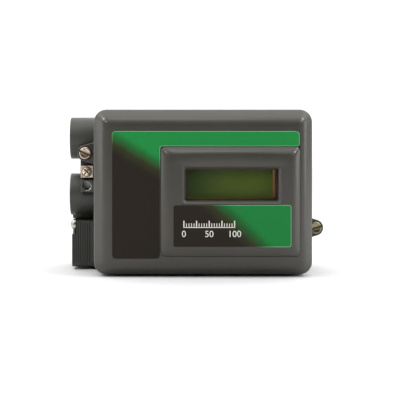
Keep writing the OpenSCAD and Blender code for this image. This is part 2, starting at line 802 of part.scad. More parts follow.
// side outline of the port block, rounded below and square above
module port_outline() {
  translate([port_y0, port_z0 + port_edge]) square([port_d, port_h - port_edge]);
  translate([port_y0 + port_edge, port_z0]) square([port_d - 2 * port_edge, port_h]);
  for (y = [port_y0 + port_edge, port_y1 - port_edge])
    translate([y, port_z0 + port_edge]) circle(port_edge);
}

module port_block() color("#5c5b55") difference() {
  along_x(port_x0, port_x1) port_outline();
  along_x(port_x0 - 1, dome_x) {
    translate([dome_y, dome_z]) circle(dome_r + dome_gap);
    translate([port_y0 - 1, dome_z - dome_r - dome_gap])
      square([dome_in + 1, 2 * (dome_r + dome_gap)]);
  }
  rod_x(dome_y, dome_z, dome_x - 1, port_x1 + 1, tie_r + 0.2);
  rod_x(tie_y, tie_z, port_x0 - 1, dome_x + 2, dome_r + 0.3);
  rod_x(tie_y, tie_z, dome_x, port_x1 + 1, tie_r + 0.2);
  for (z = [port_low, port_high])
    rod_x(port_y, z, port_x0 - 1, port_x0 + port_depth, port_r);
  rod_x(port_y, port_high, screen_x - 0.1, screen_x + screen_t, screen_r);
  rod_x(supply_y, supply_z, screen_x - 0.1, port_x1 + 1, air_r);
  rod_x(output_y, port_low, port_x0 + port_depth - 0.1, port_x1 + 1, air_r);
  for (i = [1 : flute_count])
    block(port_x0 + i * flute_gap - flute_w / 2, port_x0 + i * flute_gap + flute_w / 2,
      port_y0 - 1, port_y0 + flute_depth, port_z0 - 1, port_z1 + 1);
}

module port_gasket() color("#242424") difference() {
  along_x(port_x1, left_x) port_outline();
  for (p = port_bolts)
    rod_x(p[0], p[1], port_x1 - 1, left_x + 1, tie_r + 0.2);
  rod_x(supply_y, supply_z, port_x1 - 1, left_x + 1, air_r);
  rod_x(output_y, port_low, port_x1 - 1, left_x + 1, air_r);
}

// domed screw along X, head to the left
module dome_screw(x) {
  difference() {
    union() {
      translate([x, 0, 0]) rotate([0, -90, 0]) rotate_extrude()
        polygon([[0, 0], [dome_r, 0], [dome_r, 1.4], [dome_r - 0.5, 2.4], [dome_r - 1.5, 3.3],
          [dome_r - 2.8, 3.8], [0, 4]]);
      rod_x(0, 0, x - 0.1, left_x + port_grip, tie_r);
    }
    block(x - 5, x - 2.4, -dome_r - 1, dome_r + 1, -0.6, 0.6);
  }
}

module port_screws() color("#c4c3bd") {
  translate([0, dome_y, dome_z]) dome_screw(dome_x);
  translate([0, tie_y, tie_z]) dome_screw(dome_x + 2);
}

module supply_screen() color("#b9a878") difference() {
  rod_x(port_y, port_high, screen_x, screen_x + screen_t, screen_r - run_gap);
  for (a = [0 : 60 : 300])
    rod_x(port_y + 2.4 * cos(a), port_high + 2.4 * sin(a), screen_x - 1, screen_x + screen_t + 1, 0.7);
  rod_x(port_y, port_high, screen_x - 1, screen_x + screen_t + 1, 0.7);
}

module earth_clamp() color("#c9c8c2") difference() {
  union() {
    block(earth_x - clamp_half, earth_x + clamp_half, y_earth - clamp_t, y_earth,
      earth_high - clamp_half, earth_high + clamp_half);
    for (x = [earth_x - clamp_half, earth_x + clamp_half - 0.7])
      block(x, x + 0.7, y_earth - clamp_t - 0.8, y_earth, earth_high - clamp_half,
        earth_high + clamp_half);
  }
  rod_y(earth_x, earth_high, y_earth - 4, y_earth + 1, earth_r + clear_gap);
}

module earth_screw() color("#d6d5cf") translate([earth_x, 0, earth_high]) difference() {
  union() {
    translate([0, y_earth - clamp_t, 0]) rotate([90, 0, 0]) rotate_extrude()
      polygon([[0, 0], [earth_head_r, 0], [earth_head_r, 1.2], [earth_head_r - 0.5, 2],
        [earth_head_r - 1.6, 2.5], [0, 2.7]]);
    rod_y(0, 0, y_earth - clamp_t - 0.1, y_earth + bond_depth, earth_r);
  }
  for (a = [45, 135])
    rotate([0, a, 0]) translate([1.1 - earth_head_r, y_earth - clamp_t - 3.8, -0.45])
      cube([2 * earth_head_r - 2.2, 2.6, 0.9]);
}

module terminal_block() color("#2f6e45") difference() {
  block(terminal_x, terminal_x + terminal_w, y_terminal, -floor_t,
    terminal_z - 1.5 * terminal_pitch, terminal_z + 1.5 * terminal_pitch);
  for (z = terminal_rows) {
    block(terminal_x + 1.5, terminal_x + terminal_w + 1, y_terminal - 1, y_clamp,
      z - terminal_pitch * 0.4, z + terminal_pitch * 0.4);
    rod_y(terminal_x + terminal_w / 2, z, y_clamp - 1, y_clamp + terminal_h * 0.42, 1.2 + run_gap);
  }
}

module terminal_screws() color("#c8c6bd")
  for (z = terminal_rows)
    translate([terminal_x + terminal_w / 2, 0, z]) difference() {
      union() {
        rod_y(0, 0, y_clamp - 2, y_clamp, terminal_head_r);
        rod_y(0, 0, y_clamp - 0.1, y_clamp + terminal_h * 0.37, 1.2);
      }
      block(-terminal_head_r - 1, terminal_head_r + 1, y_clamp - 3, y_clamp - 1.2, -0.4, 0.4);
    }

module inner_earth_screw() color("#c8c6bd")
  translate([inner_x, 0, port_mid]) small_screw(y_pad, tap_depth - 1);

// board outline with its four post holes
module board(y) {
  difference() {
    block(board_x0, board_x1, y - board_t, y, -board_h / 2, board_h / 2);
    at_posts() rod_y(0, 0, y - board_t - 1, y + 1, small_r + 0.2);
  }
}

module main_board() color("#1f5a3a") board(y_main);

module display_board() color("#1f5a3a") board(y_display + board_t);

// hexagonal standoff between two levels, bored at both ends
module standoff(y0, y1, stud) {
  difference() {
    union() {
      rotate([90, 30, 0]) translate([0, 0, -y1]) cylinder(h = y1 - y0, r = hex_r, $fn = 6);
      if (stud)
        rod_y(0, 0, y0 - board_t - 5, y1 + tap_depth - 1, small_r);
    }
    if (!stud) {
      rod_y(0, 0, y1 - 6, y1 + 1, small_r + run_gap);
      rod_y(0, 0, y0 - 1, y0 + tap_depth, small_r + run_gap);
    }
  }
}

module board_standoffs() color("#b9a35c") at_posts() standoff(y_main, y_pad, true);

module display_standoffs() color("#b9a35c")
  at_posts() standoff(y_display + board_t, y_main - board_t, false);

module display_screws() color("#c8c6bd") at_posts() small_screw(y_display, tap_depth - 1);

module board_chips() color("#26272a") {
  y = y_main - board_t;
  block(board_cx - chip_w / 2, board_cx + chip_w / 2, y - chip_t, y, -chip_w / 2, chip_w / 2);
  for (s = [-1, 1]) {
    translate([board_cx - board_w * 0.24, 0, s * board_h * 0.2])
      block(-chip_w * 0.36, chip_w * 0.36, y - chip_t, y, -chip_w * 0.29, chip_w * 0.29);
    rod_y(board_cx + board_w * 0.19, s * board_h * 0.3, y - can_h, y, can_r);
  }
}

module ribbon_connectors() color("#d8d3c4") {
  y0 = y_display + board_t;
  y1 = y_main - board_t;
  for (y = [y0, y1 - socket_h])
    block(ribbon_x - socket_h * 0.6, ribbon_x + socket_h * 0.6, y, y + socket_h, -ribbon_w * 0.6,
      ribbon_w * 0.6);
}

module ribbon_cable() color("#9c9c98")
  block(ribbon_x - ribbon_t / 2, ribbon_x + ribbon_t / 2, y_display + board_t + socket_h,
    y_main - board_t - socket_h, -ribbon_w / 2, ribbon_w / 2);

module lcd_frame() color("#8f7c55") difference() {
  block(window_x0 - lcd_margin, window_x1 + lcd_margin, y_lcd, y_display,
    window_z0 - lcd_margin, window_z1 + lcd_margin);
  block(window_x0 - lcd_margin + 1, window_x1 + lcd_margin - 1, y_lcd + 1, y_display + 1,
    window_z0 - lcd_margin + 1, window_z1 + lcd_margin - 1);
  block(window_x0 - 1, window_x1 + 1, y_lcd - 1, y_lcd + 2, window_z0 - 1, window_z1 + 1);
}

module lcd_glass() color("#46522a")
  block(window_x0 - lcd_margin + 1, window_x1 + lcd_margin - 1, y_lcd + 1, y_lcd + 1 + lcd_t,
    window_z0 - lcd_margin + 1, window_z1 + lcd_margin - 1);

module lcd_backlight() color("#d9dccb")
  block(window_x0 - lcd_margin + 1, window_x1 + lcd_margin - 1, y_lcd + 1 + lcd_t, y_display,
    window_z0 - lcd_margin + 1, window_z1 + lcd_margin - 1);

// push button number i of four
module button(i) {
  translate([window_cx + (i - 1.5) * button_gap, 0, button_z]) {
    translate([0, y_button, 0]) rotate([90, 0, 0]) rotate_extrude()
      polygon([[0, 0], [button_r, 0], [button_r, 2], [button_r - 0.5, 2.5], [0, 2.5]]);
    rod_y(0, 0, y_button - 0.1, y_switch + switch_h * 0.57, stem_r);
  }
}

module button_one() color("#d4d0c2") button(0);

module button_two() color("#d4d0c2") button(1);

module button_three() color("#d4d0c2") button(2);

module button_four() color("#d4d0c2") button(3);

module switch_bodies() color("#2a2a2c")
  for (i = [0 : 3])
    translate([window_cx + (i - 1.5) * button_gap, 0, button_z]) difference() {
      block(-switch_w / 2, switch_w / 2, y_switch, y_display, -switch_w / 2, switch_w / 2);
      rod_y(0, 0, y_switch - 1, y_display + 1, stem_r + run_gap);
    }

module mode_switch() color("#2a2a2c") difference() {
  block(mode_x - mode_w / 2, mode_x + mode_w / 2, y_switch - 0.5, y_display,
    button_z - mode_w * 0.24, button_z + mode_w * 0.24);
  block(mode_x - mode_travel / 2 - 1.4, mode_x + mode_travel / 2 + 1.4, y_switch - 1,
    y_display - 1, button_z - mode_w * 0.1, button_z + mode_w * 0.1);
}

module mode_slider() color("#e0ddd2")
  block(mode_x - mode_travel / 2 - 1.3, mode_x - mode_travel / 2 + 1.3, y_switch - 2.1,
    y_display - 1 - run_gap, button_z - mode_w * 0.1 + run_gap, button_z + mode_w * 0.1 - run_gap);

// flat outline of the converter base
module ip_outline() {
  round_rect(ip_x - ip_w / 2, ip_x + ip_w / 2, ip_z - ip_h / 2, ip_z + ip_h / 2, ip_inset);
}

module ip_gasket() color("#242424") difference() {
  along_y(y_ip, y_pad) ip_outline();
  at_corners(ip_x, ip_z, ip_w / 2 - ip_inset, ip_h / 2 - ip_inset)
    rod_y(0, 0, y_ip - 1, y_pad + 1, small_r + 0.2);
  rod_y(ip_x, ip_z - coil_up, y_ip - 1, y_pad + 1, air_r);
}

module ip_base() color("#a9aaa6") difference() {
  along_y(y_ip_face, y_ip) ip_outline();
  at_corners(ip_x, ip_z, ip_w / 2 - ip_inset, ip_h / 2 - ip_inset)
    rod_y(0, 0, y_ip_face - 1, y_ip + 1, small_r + 0.2);
  rod_y(ip_x, ip_z - coil_up, y_ip_face - 1, y_ip + 1, 2);
}

module ip_nozzle() color("#c2a14e") translate([ip_x, 0, ip_z - coil_up]) difference() {
  union() {
    rod_y(0, 0, y_ip_face, y_ip - 1, 2 - run_gap);
    rod_y(0, 0, y_ip_face - nozzle_t, y_ip_face, nozzle_r);
    rod_y(0, 0, y_flap + nozzle_gap, y_ip_face - nozzle_t + 0.1, nozzle_r / 2);
  }
  rod_y(0, 0, y_flap - 1, y_ip + 1, 0.6);
}

module ip_yoke() color("#7d7f82") translate([ip_x, 0, ip_z]) difference() {
  union() {
    block(-yoke_w / 2, yoke_w / 2, y_strip, y_ip_face, -3, 4);
    block(-yoke_w / 3, yoke_w / 3, y_strip, y_ip_face, 3, ip_h / 2 - 2);
    for (x = [-yoke_w / 2, yoke_w / 2 - arm_t])
      block(x, x + arm_t, y_pivot - 2.6, y_ip_face, -3, 4);
    rod_y(0, coil_up, y_flap + 0.7, y_strip + 0.1, core_r);
  }
  rod_x(y_pivot, 0, -yoke_w, yoke_w, pivot_r + run_gap);
}

module ip_coil() color("#9a5a32") translate([ip_x, y_strip, ip_z + coil_up]) rotate([90, 0, 0])
  rotate_extrude()
    polygon([[core_r + run_gap, 0], [coil_r, 0], [coil_r, 1], [coil_r - 1.2, 1],
      [coil_r - 1.2, coil_l - 1], [coil_r, coil_l - 1], [coil_r, coil_l],
      [core_r + run_gap, coil_l]]);

module ip_flapper() color("#b7b8b4") translate([ip_x, 0, ip_z]) difference() {
  union() {
    block(-flap_w / 2, flap_w / 2, y_flap - flap_t, y_flap, -coil_up - flap_end, coil_up + flap_end);
    rod_x(y_pivot, 0, arm_t + 1 - yoke_w / 2, yoke_w / 2 - arm_t - 1, pivot_r + 1.2);
  }
  rod_x(y_pivot, 0, -yoke_w, yoke_w, pivot_r + run_gap);
}

module ip_pin() color("#d0d0cc")
  rod_x(y_pivot, ip_z, ip_x - yoke_w / 2 - 1, ip_x + yoke_w / 2 + 1, pivot_r);

module ip_screws() color("#c8c6bd")
  at_corners(ip_x, ip_z, ip_w / 2 - ip_inset, ip_h / 2 - ip_inset)
    small_screw(y_ip_face, ip_t + sheet_t + tap_depth - 1);

// square outline of the relay with its four screw holes
module relay_sheet(y0, y1) {
  difference() {
    along_y(y0, y1) round_rect(relay_x - relay_w / 2, relay_x + relay_w / 2,
      relay_z - relay_w / 2, relay_z + relay_w / 2, 3);
    at_corners(relay_x, relay_z, relay_hole, relay_hole)
      rod_y(0, 0, y0 - 1, y1 + 1, small_r + 0.2);
  }
}

module relay_gasket() color("#242424") difference() {
  relay_sheet(y_rb, y_pad);
  rod_y(relay_x, relay_z, y_rb - 1, y_pad + 1, air_r);
  rod_y(relay_x - plate_r + 1.5, relay_z, y_rb - 1, y_pad + 1, 1);
}

module relay_base() color("#a2a39f") difference() {
  relay_sheet(y_rd, y_rb);
  rod_y(relay_x, relay_z, y_valve_seat, y_rb + 1, 5);
  rod_y(relay_x, relay_z, y_rd - 1, y_valve_seat + 0.1, 2.2);
  rod_y(relay_x, relay_z, y_rd - 1, y_rd + 1.1 + plate_t + relay_travel, plate_r + 0.5);
  rod_y(relay_x - plate_r + 1.5, relay_z, y_rd - 1, y_rb + 1, 1);
}

module lower_diaphragm() color("#2b2b2b") difference() {
  relay_sheet(y_rs, y_rd);
  rod_y(relay_x, relay_z, y_rs - 1, y_rd + 1, 2.5 + run_gap);
}

module relay_spacer() color("#a2a39f") difference() {
  relay_sheet(y_ru, y_rs);
  rod_y(relay_x, relay_z, y_ru - 1, y_rs + 1, chamber_r);
  rod_x((y_ru + y_rs) / 2, relay_z, relay_x, relay_x + relay_w, 1.5);
}

module upper_diaphragm() color("#2b2b2b") difference() {
  relay_sheet(y_rc, y_ru);
  rod_y(relay_x, relay_z, y_rc - 1, y_ru + 1, 2.5 + run_gap);
}

module relay_cap() color("#3a3b3d") difference() {
  relay_sheet(y_rt, y_rc);
  rod_y(relay_x, relay_z, y_rc - 2.6 - plate_t, y_rc + 1, chamber_r);
}

// stem with a plate on both sides of each diaphragm
module relay_stem() color("#c5b37a") translate([relay_x, y_rd + 0.4 + plate_t, relay_z])
  rotate([90, 0, 0]) rotate_extrude() {
    low = 0.4 + plate_t;
    top = low + 2 * sheet_t + relay_spacer_t;
    lower_r = plate_r - 1.5;
    polygon([[0, 0], [2.5, 0], [2.5, 0.4], [lower_r, 0.4], [lower_r, low], [2.5, low],
      [2.5, low + sheet_t], [lower_r, low + sheet_t], [lower_r, low + sheet_t + plate_t],
      [2.5, low + sheet_t + plate_t], [2.5, top - sheet_t - plate_t],
      [plate_r, top - sheet_t - plate_t], [plate_r, top - sheet_t], [2.5, top - sheet_t],
      [2.5, top], [plate_r, top], [plate_r, top + plate_t], [0, top + plate_t]]);
  }

module relay_poppet() color("#b9a35c") {
  rod_y(relay_x, relay_z, y_valve_seat, y_valve_seat + 1.8, 3.2);
  rod_y(relay_x, relay_z, y_rd + 0.4 + plate_t, y_valve_seat + 0.1, 1.2);
}

// coil spring along Y between the gasket and the poppet
module relay_spring() color("#b0b1ae") {
  turns = 4;
  steps = 18;
  sides = 8;
  coil = 3.2;
  wire = 0.45;
  y0 = y_valve_seat + 1.8 + wire + 0.1;
  y1 = y_rb - wire - 0.1;
  count = turns * steps;
  points = [for (i = [0 : count])
    for (j = [0 : sides - 1])
      let (a = 360 * i / steps, b = 360 * j / sides, r = coil + wire * cos(b))
        [relay_x + r * cos(a), y0 + (y1 - y0) * i / count + wire * sin(b), relay_z + r * sin(a)]];
  sides_faces = [for (i = [0 : count - 1])
    for (j = [0 : sides - 1])
      [i * sides + j, i * sides + (j + 1) % sides, (i + 1) * sides + (j + 1) % sides,
        (i + 1) * sides + j]];
  start = [[for (j = [0 : sides - 1]) sides - 1 - j]];
  finish = [[for (j = [0 : sides - 1]) count * sides + j]];
  polyhedron(points, concat(sides_faces, start, finish));
}

module relay_screws() color("#c8c6bd")
  at_corners(relay_x, relay_z, relay_hole, relay_hole) small_screw(y_rt, y_pad - y_rt + tap_depth - 1);

module pressure_sensor() color("#b4b6b8") difference() {
  union() {
    rod_y(sensor_x, sensor_z, y_main, y_pad, sensor_r);
    rod_y(sensor_x, sensor_z, y_pad - 0.1, y_pad + 2, 1.2 - run_gap);
  }
  rod_y(sensor_x, sensor_z, y_pad - 6, y_pad + 3, 0.6);
}

module pole_pieces() color("#77797c")
  for (x = [-slot_w / 2 - pole_t, slot_w / 2])
    block(x, x + pole_t, -pole_d, 0, -pole_h / 2, pole_h / 2);

module position_sensor() color("#1e1f22")
  block(-hall_w / 2, hall_w / 2, -slot_depth - hall_t, -slot_depth, -hall_h / 2, hall_h / 2);

module vent() color("#2c2c2e") translate([vent_x, vent_y, 0]) difference() {
  rod_z(0, 0, -rim_z + 1, -cavity_z, vent_r - run_gap);
  for (x = [-vent_r / 2, 0, vent_r / 2])
    block(x - 0.9, x + 0.9, -vent_r * 0.6, vent_r * 0.6, -rim_z, -cavity_z + 1);
}

housing();
front_cover();
cover_gasket();
front_label();
display_label();
display_window();
window_seal();
cover_screw_left();
cover_screw_right();
screw_clip_left();
screw_clip_right();
port_block();
port_gasket();
port_screws();
supply_screen();
earth_screw();
earth_clamp();
terminal_block();
terminal_screws();
inner_earth_screw();
main_board();
board_standoffs();
board_chips();
ribbon_cable();
ribbon_connectors();
display_standoffs();
display_board();
display_screws();
lcd_frame();
lcd_glass();
lcd_backlight();
button_one();
button_two();
button_three();
button_four();
switch_bodies();
mode_switch();
mode_slider();
ip_gasket();
ip_base();
ip_yoke();
ip_coil();
ip_flapper();
ip_pin();
ip_nozzle();
ip_screws();
relay_gasket();
relay_base();
lower_diaphragm();
relay_spacer();
upper_diaphragm();
relay_cap();
relay_stem();
relay_poppet();
relay_spring();
relay_screws();
pressure_sensor();
pole_pieces();
position_sensor();
vent();
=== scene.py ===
"""Looks of the valve positioner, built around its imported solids, with its front towards -Y.
Sizes and places are written in millimetres, but those of camera, floor and lights in metres."""

import math

import bmesh
import bpy
from mathutils import Matrix, Vector


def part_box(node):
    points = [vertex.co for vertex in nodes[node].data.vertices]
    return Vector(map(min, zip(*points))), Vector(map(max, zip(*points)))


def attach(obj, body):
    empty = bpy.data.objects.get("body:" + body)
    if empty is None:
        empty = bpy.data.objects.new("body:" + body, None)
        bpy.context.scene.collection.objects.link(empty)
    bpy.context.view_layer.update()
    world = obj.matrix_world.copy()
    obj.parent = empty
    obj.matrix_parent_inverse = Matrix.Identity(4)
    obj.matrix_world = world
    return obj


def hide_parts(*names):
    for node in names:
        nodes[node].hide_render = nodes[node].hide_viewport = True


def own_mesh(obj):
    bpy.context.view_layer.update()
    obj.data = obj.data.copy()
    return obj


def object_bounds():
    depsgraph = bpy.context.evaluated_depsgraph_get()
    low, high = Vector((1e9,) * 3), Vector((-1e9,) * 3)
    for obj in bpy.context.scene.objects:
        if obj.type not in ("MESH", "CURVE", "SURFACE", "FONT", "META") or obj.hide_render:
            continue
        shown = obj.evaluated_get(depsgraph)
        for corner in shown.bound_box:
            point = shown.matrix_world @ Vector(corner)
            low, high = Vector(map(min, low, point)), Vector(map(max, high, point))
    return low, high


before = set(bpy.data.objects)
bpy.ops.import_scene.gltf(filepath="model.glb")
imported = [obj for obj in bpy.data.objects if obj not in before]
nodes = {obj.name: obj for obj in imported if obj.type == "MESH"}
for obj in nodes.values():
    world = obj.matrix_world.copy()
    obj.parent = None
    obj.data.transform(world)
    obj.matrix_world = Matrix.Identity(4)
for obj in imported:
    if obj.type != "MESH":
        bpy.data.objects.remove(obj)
cad_low, cad_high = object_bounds()
MM = 0.001


# Places that pieces and finishes share


def span(node):
    """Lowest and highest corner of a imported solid."""
    return [[round(place / MM, 3) for place in corner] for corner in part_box(node)]


def middle(node):
    return [(low + high) / 2 for low, high in zip(*span(node))]


# Cover: back of its rim, front face, front of the display panel, seat of the window's seal
RIM_Y = span("front_cover")[1][1]
FACE_Y, TOP_Y = -93.5, -97.35
SEAT_Y = span("window_seal")[0][1]
# Left, right, foot and top of the panel, of the display's field and of the opening in front of it
PANEL = (-29.9, 66.7, -44.0, 31.5)
WINDOW = (-11.6, 50.0, -4.9, 15.8)
OPENING = (-12.9, 51.3, -5.5, 16.2)
# Outside earth screw, the bonding hole below it, and the seats of the port block's screws
EARTH_X, _, EARTH_Z = middle("earth_screw")
EARTH_HEAD = 3.4
BONDING_Z = 2.9
DOME_SEATS = ((-92.5, -43.5, -26.2), (-90.5, -40, -51.6))
DOME_SLOT = 1.1


# Shader maths


class Value:
    """A socket of one material, with operators that add Math nodes."""

    def __init__(self, paint, socket):
        self.paint = paint
        self.socket = socket

    def math(self, operation, *others):
        return self.paint.add("Math", {"operation": operation}, [self, *others])

    def __add__(self, other):
        return self.math("ADD", other)

    def __radd__(self, other):
        return self.math("ADD", other)

    def __sub__(self, other):
        return self.math("SUBTRACT", other)

    def __rsub__(self, other):
        return self.paint.add("Math", {"operation": "SUBTRACT"}, [other, self])

    def __mul__(self, other):
        return self.math("MULTIPLY", other)

    def __rmul__(self, other):
        return self.math("MULTIPLY", other)

    def __truediv__(self, other):
        return self.math("DIVIDE", other)

    def over(self, limit):
        return self.math("GREATER_THAN", limit)

    def under(self, limit):
        return self.math("LESS_THAN", limit)

    def most(self, other):
        return self.math("MAXIMUM", other)

    def wave(self, half):
        """Goes from 0 to 1 over this many millimetres, and back over as many."""
        return self.math("PINGPONG", half * MM) / (half * MM)

    def rise(self, start, end):
        """0 before start, 1 after end, smooth between."""
        return self.paint.add(
            "MapRange", {"interpolation_type": "SMOOTHSTEP"}, [self, start, end, 0.0, 1.0]
        )


class Paint:
    """One material, built node by node."""

    def __init__(self, name):
        self.material = bpy.data.materials.new(name)
        self.material.use_nodes = True
        self.tree = self.material.node_tree
        self.shader = self.tree.nodes["Principled BSDF"]
        self.place = self.add("TexCoord", {}, [], "Object")

    def add(self, kind, settings=None, inputs=(), output=0):
        """Adds a node, sets it, and fills or links its sockets in order or by name."""
        node = self.tree.nodes.new("ShaderNode" + kind)
        for key, value in (settings or {}).items():
            if key == "stops":
                ramp = node.color_ramp
                while len(ramp.elements) < len(value):
                    ramp.elements.new(0.5)
                for element, (position, colour) in zip(ramp.elements, value):
                    element.position = position
                    element.color = (*colour, 1)
            else:
                setattr(node, key, value)
        pairs = inputs.items() if isinstance(inputs, dict) else enumerate(inputs)
        for key, value in pairs:
            self.fill(node.inputs[key], value)
        return Value(self, node.outputs[output])

    def fill(self, socket, value):
        if isinstance(value, Value):
            self.tree.links.new(value.socket, socket)
        elif hasattr(socket.default_value, "__len__") and len(socket.default_value) == 4:
            socket.default_value = (*value[:3], 1)
        else:
            socket.default_value = value

    def axes(self):
        parts = self.add("SeparateXYZ", {}, [self.place]).socket.node
        return [Value(self, out) for out in parts.outputs]

    def noise(self, size, detail=2.0, rough=0.5):
        """Noise from 0 to 1 with patches about this many millimetres across."""
        return self.add(
            "TexNoise",
            {},
            {
                "Vector": self.place,
                "Scale": 1 / (size * MM),
                "Detail": detail,
                "Roughness": rough,
            },
        )

    def drawn_lines(self, per_metre):
        """Noise from 0 to 1, drawn out into lines by its number of patches per metre of each axis."""
        place = self.add("Mapping", {}, {"Vector": self.place, "Scale": per_metre})
        return self.add("TexNoise", {}, {"Vector": place, "Scale": 1.0, "Detail": 3.0})

    def mix(self, factor, first, second):
        node = self.add("Mix", {"data_type": "RGBA"}, {}).socket.node
        self.fill(node.inputs[0], factor)
        self.fill(node.inputs[6], first)
        self.fill(node.inputs[7], second)
        return Value(self, node.outputs[2])

    def ramp(self, share, *stops):
        return self.add("ValToRGB", {"stops": stops}, [share])

    def bump(self, height, strength, depth, normal=None):
        """Relief of this depth in millimetres, on top of another one if that is given."""
        inputs = {"Strength": strength, "Distance": depth * MM, "Height": height}
        if normal:
            inputs["Normal"] = normal
        return self.add("Bump", {}, inputs)

    def finish(self, **sockets):
        for name, value in sockets.items():
            self.fill(self.shader.inputs[name.replace("_", " ")], value)
        return self.material


def screen(red, green, blue):
    """Screen colour from 0 to 255 as the linear light that shaders use."""
    out = []
    for part in (red, green, blue):
        part /= 255
        out.append(part / 12.92 if part <= 0.04045 else ((part + 0.055) / 1.055) ** 2.4)
    return tuple(out)


def shade(colour, factor):
    return tuple(part * factor for part in colour)


def bored(p, holes):
    """1 inside the given holes, and the place along their axis. Each hole holds its axis, its
    middle on the other two axes, its radius and its reach along the axis."""
    places = dict(zip("xyz", p.axes()))
    inside = along = 0.0
    for axis, first, second, radius, start, end in holes:
        u, v = (places[a] for a in "xyz" if a != axis)
        off_u, off_v = u - first * MM, v - second * MM
        hit = (off_u * off_u + off_v * off_v).under((radius * MM) ** 2)
        hit = hit * places[axis].over(start * MM) * places[axis].under(end * MM)
        inside = hit + inside
        along = hit * places[axis] + along
    return inside, along


def boxed(p, low, high, fade):
    """1 inside a box. Its foot fades in over the given height."""
    places = p.axes()
    inside = places[2].rise(low[2] * MM, (low[2] + fade) * MM)
    for place, start, end in zip(places, low, high):
        inside = inside * place.over(start * MM) * place.under(end * MM)
    return inside


# Finishes


def moulded_plastic(name, colour, rough, gloss=0.0):
    """Plastic with a fine grain, uneven in tone, under a clear gloss if one is given."""
    p = Paint(name)
    patches = p.noise(30, 3).rise(0.3, 0.7)
    return p.finish(
        Base_Color=p.mix(patches, shade(colour, 0.94), shade(colour, 1.05)),
        Roughness=rough - 0.06 + 0.12 * p.noise(12),
        Coat_Weight=gloss,
        Coat_Roughness=0.13,
        Normal=p.bump(p.noise(0.5), 0.3, 0.03),
    )


def cast_paint(name, colour, holes, pitch, tints_and_shadows=()):
    """Paint over a sand-cast skin: orange peel, faint pits, thin spots. The holes are bare metal with
    a thread, painted dark in its roots and light on its crests. Each tint or painted shadow holds a
    box's two corners, its fade and a factor on the colour there."""
    p = Paint(name)
    bare, along = bored(p, holes)
    thread = along.wave(pitch / 2)
    pits = p.noise(6, 4, 0.6)
    peel = p.noise(1.6, 3)
    worn = p.noise(20, 5, 0.65).rise(0.64, 0.8)
    tone = p.mix(p.noise(35, 3).rise(0.3, 0.7), shade(colour, 0.92), shade(colour, 1.07))
    tone = p.mix(worn * 0.35, tone, shade(colour, 1.45))
    # Tints include painted shadows, which darken the colour inside a box
    for low, high, fade, factor in tints_and_shadows:
        tone = p.mix(boxed(p, low, high, fade), tone, shade(colour, factor))
    # The thread is painted dark in its roots and light on its crests: painted shade and painted
    # highlight
    metal = p.mix(thread, (0.16, 0.16, 0.155), (0.5, 0.5, 0.48))
    cast = p.bump(peel * 0.6 + pits, 0.35, 0.12)
    return p.finish(
        Base_Color=p.mix(bare, tone, metal),
        Metallic=bare,
        Roughness=0.42 + 0.16 * pits - 0.12 * bare,
        Normal=p.bump(thread * bare, 0.8, 0.4, cast),
    )


# Painted shade in slots and painted shade around screw heads: colour, and how much of the metal it
# hides
SLOT_SHADE, SLOT_SHADE_SHARE = (0.012, 0.01, 0.008), 0.92
HEAD_SHADE, HEAD_SHADE_SHARE = (0.03, 0.018, 0.01), 0.7


def worked_metal(name, colour, rough, slot=None, head=None, bright=1.0, boxes=()):
    """Turned or drawn metal with fine lines and a little tarnish. Painted shade fills the given boxes,
    and what lies behind the slot's two Y places. Painted shade lies in a ring around a screw head,
    which is given by its middle and radius."""
    p = Paint(name)
    lines = p.drawn_lines((400, 4000, 400))
    stain = p.noise(4, 4, 0.6).rise(0.4, 0.75)
    tone = p.mix(stain, colour, shade(colour, 0.75))
    if slot:
        start, end = slot
        # Painted shade in the slot, behind its first Y place
        tone = p.mix(SLOT_SHADE_SHARE * p.axes()[1].rise(start * MM, end * MM), tone, SLOT_SHADE)
    for low, high in boxes:
        # Painted shade in the slots inside these boxes
        tone = p.mix(SLOT_SHADE_SHARE * boxed(p, low, high, 0.1), tone, SLOT_SHADE)
    if head:
        # Painted shade in a ring around the head
        x, _, z = p.axes()
        off_x, off_z = x - head[0] * MM, z - head[1] * MM
        away = (off_x * off_x + off_z * off_z).math("SQRT") - head[2] * MM
        tone = p.mix(HEAD_SHADE_SHARE * (1 - away.rise(0.1 * MM, 0.9 * MM)), tone, HEAD_SHADE)
    return p.finish(
        Base_Color=tone,
        Metallic=bright,
        Roughness=rough - 0.06 + 0.1 * lines + 0.12 * stain,
        Normal=p.bump(lines, 0.07, 0.04),
    )


def soft_rubber(name, colour):
    """Rubber with a dull bloom."""
    p = Paint(name)
    bloom = p.noise(8, 4, 0.6)
    return p.finish(
        Base_Color=p.mix(bloom, shade(colour, 0.8), shade(colour, 1.5)),
        Roughness=0.68 + 0.15 * bloom,
        Normal=p.bump(p.noise(0.4), 0.3, 0.03),
    )


def overlay(name, point, across, half, colours):
    """Printed film: four colours run into each other across a slanting line. The line is given by
    a point on it and the direction across it, and the fade by half its width."""
    p = Paint(name)
    x, _, z = p.axes()
    side = (x - point[0] * MM) * across[0] + (z - point[1] * MM) * across[1]
    wander = (p.noise(12, 3) - 0.5) * (4 * MM)
    share = (side + wander) / (2 * half * MM) + 0.5
    tone = p.ramp(share, *zip((0, 0.4, 0.72, 1), colours))
    grain = p.noise(0.6)
    return p.finish(
        Base_Color=p.mix(grain * 0.25, tone, (0.01, 0.012, 0.008)),
        Roughness=0.4 + 0.1 * p.noise(10),
        Specular_IOR_Level=0.15,
        Normal=p.bump(grain, 0.08, 0.02),
    )


def plain_ink(name, colour):
    """Screen-printed ink with thin spots."""
    p = Paint(name)
    thin = p.noise(0.8, 3)
    return p.finish(
        Base_Color=p.mix(thin.rise(0.55, 0.8) * 0.25, colour, shade(colour, 0.6)),
        Roughness=0.4 + 0.1 * thin,
    )


